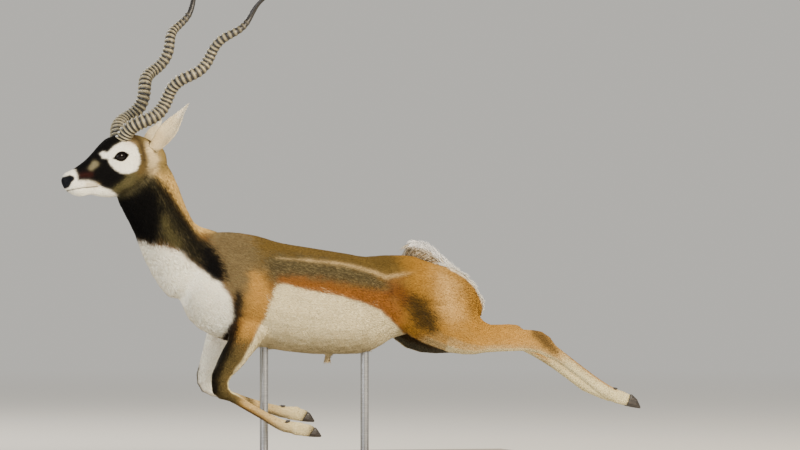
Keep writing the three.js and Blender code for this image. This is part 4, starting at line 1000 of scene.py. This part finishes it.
def tuft_mesh(roots, normals, ways, lengths, widths, lifts):
    """Pyramid tufts: a broad flat root, a low ridge and a tip that lies along the body."""
    across = np.cross(normals, ways)
    across /= np.linalg.norm(across, axis=1)[:, None]
    thick = widths * RIDGE_HEIGHT
    sunk = roots - normals * ROOT_SUNK
    left = sunk + across * (widths / 2)[:, None]
    right = sunk - across * (widths / 2)[:, None]
    ridge = sunk + normals * (thick + ROOT_SUNK)[:, None] + ways * (lengths * 0.12)[:, None]
    tip = roots + ways * (lengths * np.cos(lifts))[:, None] + normals * (lengths * np.sin(lifts))[:, None]
    points = np.stack([left, right, ridge, tip], 1).reshape(-1, 3)
    one = np.array([[0, 2, 3], [2, 1, 3], [1, 0, 3], [0, 1, 2]])
    faces = (np.arange(len(roots)) * 4)[:, None, None] + one
    return points, faces.reshape(-1, 3)


def lie_of(normals, bones, random, wander):
    """The direction of each tuft in the skin's plane: along the limb, drooping a little on the flanks."""
    way = bones["lie"].copy()
    way += on(bones, "trunk", "neck")[:, None] * np.array([0, 0, -0.35])
    way += random.normal(size=way.shape) * wander
    way -= normals * (way * normals).sum(1)[:, None]
    return way / np.maximum(np.linalg.norm(way, axis=1), 1e-6)[:, None]


PATCH = 0.003                       # the size of one tuft's place on the unwrap


def bake_places(bones, limbs):
    """A place for each root on an unwrap of the limbs: along the bone by the angle round it."""
    column = np.array([limbs.index(name) if name in limbs else 0 for name in LIMBS])[bones["limb"]]
    across = (column + 0.03 + 0.94 * bones["along"]) / len(limbs)
    return np.stack([0.006 + 0.985 * across, 0.006 + 0.985 * bones["angle"]], -1)


def coat_piece(name, roots, normals, bones, limbs, random, seed):
    lengths, widths = (bones["share"] @ np.array([HAIR.get(n, LEG_HAIR)[i] for n in LIMBS]) for i in range(2))
    lengths = lengths * random.uniform(0.75, 1.2, len(roots))
    widths = widths * random.uniform(0.8, 1.25, len(roots))
    f, s, u = in_head(roots).T
    muzzle = np.clip((f - 60) / 120, 0, 1) * on(bones, "head")
    lengths *= 1 - 0.35 * muzzle
    for side in (-1, 1):
        long, high, out = eye_plane(roots, side)
        lengths *= np.where(out > 0, np.clip(0.3 + (-almond(long, high) - 2) / 9, 0.3, 1), 1)
    lifts = np.radians(random.uniform(3, 9, len(roots)))
    ways = lie_of(normals, bones, random, 0.08)
    points, faces = tuft_mesh(roots, normals, ways, lengths, widths, lifts)
    tones = coat_colours(roots, normals, bones, seed)
    shade = np.array([0.88, 0.88, 0.98, 1.06])
    tones = (tones[:, None, :] * shade[None, :, None]).reshape(-1, 3)
    spots = bake_places(bones, limbs)
    corner = np.array([[-0.5, -0.5], [0.5, -0.5], [0.0, 0.0], [0.0, 0.5]]) * PATCH
    places = (spots[:, None, :] + corner[None]).reshape(-1, 2)
    made = mesh_piece(name, points, faces, coat_material, tones, True, places)
    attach(made, "root")
    return made


COAT_PIECES = {
    "coat_head": (["head", "ear_left", "ear_right"], None),
    "coat_neck": (["neck"], None),
    "coat_trunk_front_left": (["trunk"], (-1, -1)),
    "coat_trunk_front_right": (["trunk"], (-1, 1)),
    "coat_trunk_rear_left": (["trunk"], (1, -1)),
    "coat_trunk_rear_right": (["trunk"], (1, 1)),
    "coat_forelegs": (["fore_left", "fore_right"], None),
    "coat_hindlegs": (["hind_left", "hind_right"], None),
    "coat_tail": (["tail"], None),
}


def make_coat(skin):
    random = np.random.default_rng(11)
    roots, normals = sample_roots(skin, random)
    clothed = ~bare(roots)
    roots, normals = roots[clothed], normals[clothed]
    bones = read_bones(roots)
    for seed, (name, (limbs, part)) in enumerate(COAT_PIECES.items()):
        mine = np.isin(bones["limb"], columns_of(limbs))
        if part:
            mine &= (np.sign(roots[:, 0] - 20) == part[0]) & ((roots[:, 1] >= 0) == (part[1] > 0))
        chosen = {key: value[mine] for key, value in bones.items()}
        coat_piece(name, roots[mine], normals[mine], chosen, limbs, random, 100 + seed)


# Long hair: tail, rump, sheath
TAIL_LOCKS, RUMP_LOCKS, SHEATH_LOCKS = 3800, 3600, 220


def lock_mesh(roots, normals, ways, lengths, widths, curls, steps=4):
    """Flat tapered locks that rise from the root and bend over towards the tip."""
    count = len(roots)
    across = np.cross(normals, ways)
    across /= np.linalg.norm(across, axis=1)[:, None]
    rings = []
    for k in range(steps):
        t = k / steps
        half = widths / 2 * (0.7 + 0.6 * t) * (1 - t ** 2.2)
        deep = widths * 0.16 * (1 - 0.6 * t)
        centre = roots + ways * (lengths * t)[:, None] + curls * (lengths * t * t)[:, None]
        rings.append(np.stack([centre + across * half[:, None], centre + normals * deep[:, None],
                               centre - across * half[:, None], centre - normals * deep[:, None]], 1))
    tip = roots + ways * lengths[:, None] + curls * lengths[:, None]
    points = np.concatenate([np.concatenate(rings, 1), tip[:, None]], 1)
    faces = [[0, 1, 2], [0, 2, 3]]
    for k in range(steps - 1):
        for j in range(4):
            a, b = k * 4 + j, k * 4 + (j + 1) % 4
            faces += [[a, a + 4, b], [b, a + 4, b + 4]]
    for j in range(4):
        faces.append([(steps - 1) * 4 + j, steps * 4, (steps - 1) * 4 + (j + 1) % 4])
    each = steps * 4 + 1
    faces = (np.arange(count) * each)[:, None, None] + np.array(faces)
    return points.reshape(-1, 3), faces.reshape(-1, 3), each


def long_hair(name, roots, normals, ways, lengths, widths, curls, tones, material):
    points, faces, each = lock_mesh(roots, normals, ways, lengths, widths, curls)
    run = np.repeat(np.linspace(0, 1, each // 4 + 1), 4)[:each]
    shade = 0.8 + 0.3 * run
    tones = (tones[:, None, :] * shade[None, :, None]).reshape(-1, 3)
    bones = read_bones(roots)
    spots = bake_places(bones, LIMBS)
    corner = np.zeros((each, 2))
    corner[:, 1] = (run - 0.5) * PATCH
    corner[:, 0] = np.tile([-0.5, 0, 0.5, 0], each)[:each] * PATCH
    places = (spots[:, None, :] + corner[None]).reshape(-1, 2)
    made = mesh_piece(name, points, faces, material, np.clip(tones, 0, 1), True, places)
    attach(made, "root")
    return made


def unit(vectors):
    return vectors / np.linalg.norm(vectors, axis=-1, keepdims=True)


def make_tail_hair():
    """White hair of the raised tail, longest at the end, with brown streaks that hang to the rump."""
    random = np.random.default_rng(21)
    count = TAIL_LOCKS
    line = np.array(TAIL_CORE, float)
    span = np.r_[0, np.cumsum(np.linalg.norm(np.diff(line, axis=0), axis=1))]
    t = random.uniform(0.02, 1.0, count) ** 0.9

    def at(share):
        return np.stack([np.interp(share * span[-1], span, line[:, i]) for i in range(3)], -1)

    centre, along = at(t), unit(at(t + 0.05) - at(t - 0.05))
    top = unit(np.cross(along, [0, 1.0, 0]))
    top *= np.sign(top[:, 2:3] + top[:, 0:1] * 0.5)
    around = random.uniform(-math.pi, math.pi, count)
    out = top * np.cos(around)[:, None] + np.array([0, 1.0, 0]) * np.sin(around)[:, None]
    half = np.interp(t, np.linspace(0, 1, len(TAIL_CORE_HALF)), TAIL_CORE_HALF)
    roots = centre + out * (half * 0.72)[:, None]
    upper = np.cos(around) > 0.1
    rise = random.uniform(0.18, 0.42, count) * np.where(upper, 1 + 1.3 * t ** 2, 1)
    ways = unit(along + out * rise[:, None] + random.normal(size=(count, 3)) * 0.08)
    lengths = random.uniform(18, 30, count) * (1 + 0.35 * t) * np.where(upper, 1, 1.15)
    tones = np.where(upper[:, None], linear("#f4f2ee"), linear("#cfc2aa"))
    brown = (np.cos(around) < -0.15) & (random.uniform(size=count) < 0.3)
    tones[brown] = linear("#8a7048")
    hang = np.clip((t - 0.72) / 0.28, 0, 1) * 0.75 + np.where(np.cos(around) < -0.2, 0.75, 0)
    droop = np.array([0, 0, -1.0]) * hang[:, None]
    tones = tones * random.uniform(0.86, 1.06, count)[:, None]
    long_hair("tail_hair", roots, out, ways, lengths, random.uniform(2.0, 3.6, count),
              droop - out * 0.12, tones, long_hair_material)


RUMP_LINE = [(330, 508), (362, 497), (392, 476), (413, 446), (425, 414), (428, 392)]


def make_rump_hair(skin):
    """The white fringe that runs from under the tail down the middle of the rump."""
    random = np.random.default_rng(22)
    count = RUMP_LOCKS
    places, normals = vertices_of(skin.data), normals_of(skin.data)
    x, side, z = places[:, 0], np.abs(places[:, 1]), places[:, 2]
    band = depth_near(x, z, RUMP_LINE, 20)
    candidates = np.nonzero((side < 30) & (band > 0) & (normals[:, 0] + normals[:, 2] > 0))[0]
    chosen = random.choice(candidates, count)
    chosen = chosen[random.uniform(size=count) < 1.15 - side[chosen] / 30]
    roots, out = places[chosen] + random.normal(size=(len(chosen), 3)) * 1.2, normals[chosen]
    back = np.clip((470 - roots[:, 2]) / 200, 0, 0.2) + 0.5 * np.clip((roots[:, 2] - 440) / 60, 0, 1)
    down = np.stack([back, roots[:, 1] / 90, -np.ones(len(roots))], -1)
    lift = 0.5 - 0.3 * np.clip((440 - roots[:, 2]) / 60, 0, 1)
    ways = unit(unit(down - out * (down * out).sum(1)[:, None]) + out * lift[:, None]
                + random.normal(size=out.shape) * 0.1)
    lengths = random.uniform(14, 25, len(roots))
    tones = np.tile(linear("#f5f2ea"), (len(roots), 1)) * random.uniform(0.88, 1.02, len(roots))[:, None]
    long_hair("rump_fringe", roots, out, ways, lengths, random.uniform(1.8, 3.2, len(roots)),
              -out * 0.15, tones, long_hair_material)


def make_sheath_hair():
    """The small tuft of brown-cream hair under the belly."""
    random = np.random.default_rng(23)
    count = SHEATH_LOCKS
    angle = random.uniform(0, 2 * math.pi, count)
    level = random.uniform(0, 1, count)
    out = np.stack([np.cos(angle), np.sin(angle) * 0.8, -0.15 * np.ones(count)], -1)
    rise = np.array([0, 0, 1.0]) * (level * 14)[:, None]
    roots = np.array([21.0, 0, 268.0]) + out * 7 * (1 - 0.4 * level)[:, None] + rise
    ways = unit(out * 0.22 + np.array([-0.15, 0, -1.0]) + random.normal(size=(count, 3)) * 0.08)
    tones = np.tile(linear("#cdb98f"), (count, 1)) * random.uniform(0.6, 1.1, count)[:, None]
    long_hair("sheath_hair", roots, unit(out), ways, random.uniform(7, 17, count),
              random.uniform(1.2, 2.2, count), np.zeros((count, 3)), tones, long_hair_material)


# Horns, eyes, hooves, stand
HORN = {"f": 73, "u": 46.6, "side": 28, "coil": 12.7, "coil_tip": 5.7, "smooth_from": 0.79, "turns": 3.3,
        "tighten": 0.4, "start": -0.3, "rings": 39, "crest": 2.1,
        "left": (373, 170, 409), "right": (328, 170, 436)}
HORN_RADIUS = ([0, 0.31, 0.52, 0.66, 0.79, 0.92, 1], [19.4, 16.2, 14.6, 12.2, 8.2, 4.8, 1.5])


def make_horn(name, sign):
    base = from_head(HORN["f"], sign * HORN["side"], HORN["u"])
    back, out, up = HORN[name]
    level = unit(HEAD_AXES[0] * [1, 1, 0])
    right = np.cross(level, [0, 0, 1.0])
    line = -level * back + right * sign * out + np.array([0, 0, up])
    length = np.linalg.norm(line)
    axis = line / length
    under = unit(np.cross(right, axis))
    if under @ level > 0:
        under = -under
    beside = np.cross(axis, under)

    def centre(t):
        angle = 2 * math.pi * (HORN["turns"] * t + HORN["tighten"] * t * t + HORN["start"])
        coil = HORN["coil"] + (HORN["coil_tip"] - HORN["coil"]) * t
        turned = beside * sign * math.sin(angle) - under * math.cos(angle)
        return base + axis * (length * t - 6) + turned * coil

    places, heights = [], []
    for r in range(HORN["rings"]):
        here, there = (HORN["smooth_from"] * (q / HORN["rings"]) ** 1.12 for q in (r, r + 1))
        for share, height in ((0.0, -1.0), (0.3, -0.9), (0.5, 0.5), (0.64, 1.0), (0.78, 0.6)):
            places.append(here + (there - here) * share)
            heights.append(height)
    for q in np.linspace(0, 0.985, 16):
        places.append(HORN["smooth_from"] + (1 - HORN["smooth_from"]) * q)
        heights.append(-0.6 * (1 - q) if q < 0.2 else 0.0)
    sides = 28
    angles = np.arange(sides) * 2 * math.pi / sides
    random = np.random.default_rng(31 if sign < 0 else 32)
    rings, tones = [], []
    # Painted light and shade: pale crests as lit ridges, dark grooves as shade
    groove_shade, crest, tip = (np.array(linear(c)) for c in ("#171411", "#b0a684", "#191614"))
    for t, height in zip(places, heights):
        way = centre(t + 0.004) - centre(t - 0.004)
        way /= np.linalg.norm(way)
        a = unit(np.cross(way, right))
        b = np.cross(way, a)
        round_it = 1 - 0.35 * np.clip(-np.cos(angles), 0, 1)       # the rings are weaker behind
        radius = np.interp(t, *HORN_RADIUS) + height * HORN["crest"] * (1.15 - t) * round_it
        radius = radius * (1 + random.normal() * 0.006)
        rings.append(centre(t) + np.outer(np.cos(angles) * radius, a) + np.outer(np.sin(angles) * radius, b))
        # Painted highlight: a crest is paler the higher it stands, and where the rings are stronger
        light = np.clip((height + 0.15) / 1.0, 0, 1) * round_it ** 2 * random.uniform(0.8, 1.0)
        tone = groove_shade + (crest - groove_shade) * light[:, None]
        fade = np.clip((t - 0.66) / 0.14, 0, 1)
        tones.append(tone * (1 - fade) + tip * fade)
    points, faces = close_rings(np.array(rings), centre(-0.002), centre(1))
    tones = np.vstack([np.concatenate(tones), groove_shade, tip])
    horn = mesh_piece("horn_" + name + "_ringed", points, facing_out(points, faces), horn_material(), tones)
    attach(horn, "root")
    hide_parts("horn_" + name)


def make_eye(name, side, material):
    """The eyeball, a little fuller at the front where the cornea is."""
    bpy.ops.object.select_all(action="DESELECT")
    bpy.ops.mesh.primitive_uv_sphere_add(segments=48, ring_count=32, radius=(EYE["radius"] - 0.4) * MM)
    eye = bpy.context.object
    eye.name = "eyeball_" + name
    places = vertices_of(eye.data)
    ahead = HEAD_AXES[1] * side * 0.93 + HEAD_AXES[0] * 0.36
    facing = np.clip((unit(places) @ unit(ahead) - 0.75) / 0.25, 0, 1)
    places += unit(places) * (facing * 0.7)[:, None] + from_head(EYE["f"], side * EYE["s"], EYE["u"])
    move_vertices(eye.data, places)
    eye.data.materials.append(material)
    bpy.ops.object.shade_smooth()
    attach(eye, "root")
    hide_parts("eye_" + name)


def make_hooves():
    material = hoof_material()
    for name in sorted(nodes):
        if not name.startswith(("hoof_", "dewclaw_")):
            continue
        piece = copy_of(name)
        piece.name = name + "_shaped"
        fine = 1.3 if name.startswith("hoof_") else 0.9
        apply_modifier(piece, "REMESH", mode="VOXEL", voxel_size=fine * MM, use_smooth_shade=True)
        apply_modifier(piece, "SMOOTH", factor=0.5, iterations=5)
        piece.data.materials.clear()
        piece.data.materials.append(material)
        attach(piece, "root")
        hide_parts(name)


def make_stand():
    nodes["stand_base"].data.materials.clear()
    nodes["stand_base"].data.materials.append(plate_material())
    steel = rod_material()
    for name in ("stand_rod_front", "stand_rod_rear"):
        low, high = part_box(name)
        x, y = (low.x + high.x) / 2 / MM, (low.y + high.y) / 2 / MM
        bottom, top, radius = low.z / MM, high.z / MM, (high.x - low.x) / 2 / MM
        floor_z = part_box("stand_base")[1].z / MM
        profile = [(bottom, radius), (floor_z - 0.2, radius), (floor_z + 0.2, radius), (top - 1.5, radius),
                   (top, radius - 1.5)]
        angles = np.arange(48) * 2 * math.pi / 48
        rings = np.array([np.stack([x + r * np.cos(angles), y + r * np.sin(angles), np.full(48, z)], -1)
                          for z, r in profile])
        points, faces = close_rings(rings, np.array([x, y, bottom]), np.array([x, y, top]))
        rod = mesh_piece(name + "_turned", points, facing_out(points, faces), steel)
        pick(rod)
        bpy.ops.object.shade_smooth_by_angle(angle=math.radians(40))
        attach(rod, "root")
        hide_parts(name)


# Build it all
skin = make_skin()
ears = make_ears()
pick(skin)
for ear in ears:
    ear.select_set(True)
bpy.ops.object.join()
make_coat(skin)
places = vertices_of(skin.data)
paint(skin.data, coat_colours(places, normals_of(skin.data), read_bones(places), 99))
skin.data.materials.clear()
skin.data.materials.append(skin_material)
for polygon in skin.data.polygons:
    polygon.use_smooth = True
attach(skin, "root")
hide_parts("head", "neck", "torso", "leg_fore_left", "leg_fore_right", "leg_hind_left",
            "leg_hind_right", "ear_left", "ear_right", "tail", "sheath_tuft")

lid_points, lid_faces, start = [], [], 0
for points, faces in make_lids():
    lid_points.append(points)
    lid_faces.append(faces + start)
    start += len(points)
lids = mesh_piece("lid_margins", np.vstack(lid_points), np.vstack(lid_faces), skin_material,
                  np.tile(linear("#0d0a09"), (start, 1)))
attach(lids, "root")

make_tail_hair()
make_rump_hair(skin)
make_sheath_hair()
for horn_name, sign in (("left", -1), ("right", 1)):
    make_horn(horn_name, sign)
glass = eye_material()
for eye_name, side in (("left", -1), ("right", 1)):
    make_eye(eye_name, side, glass)
make_hooves()
make_stand()
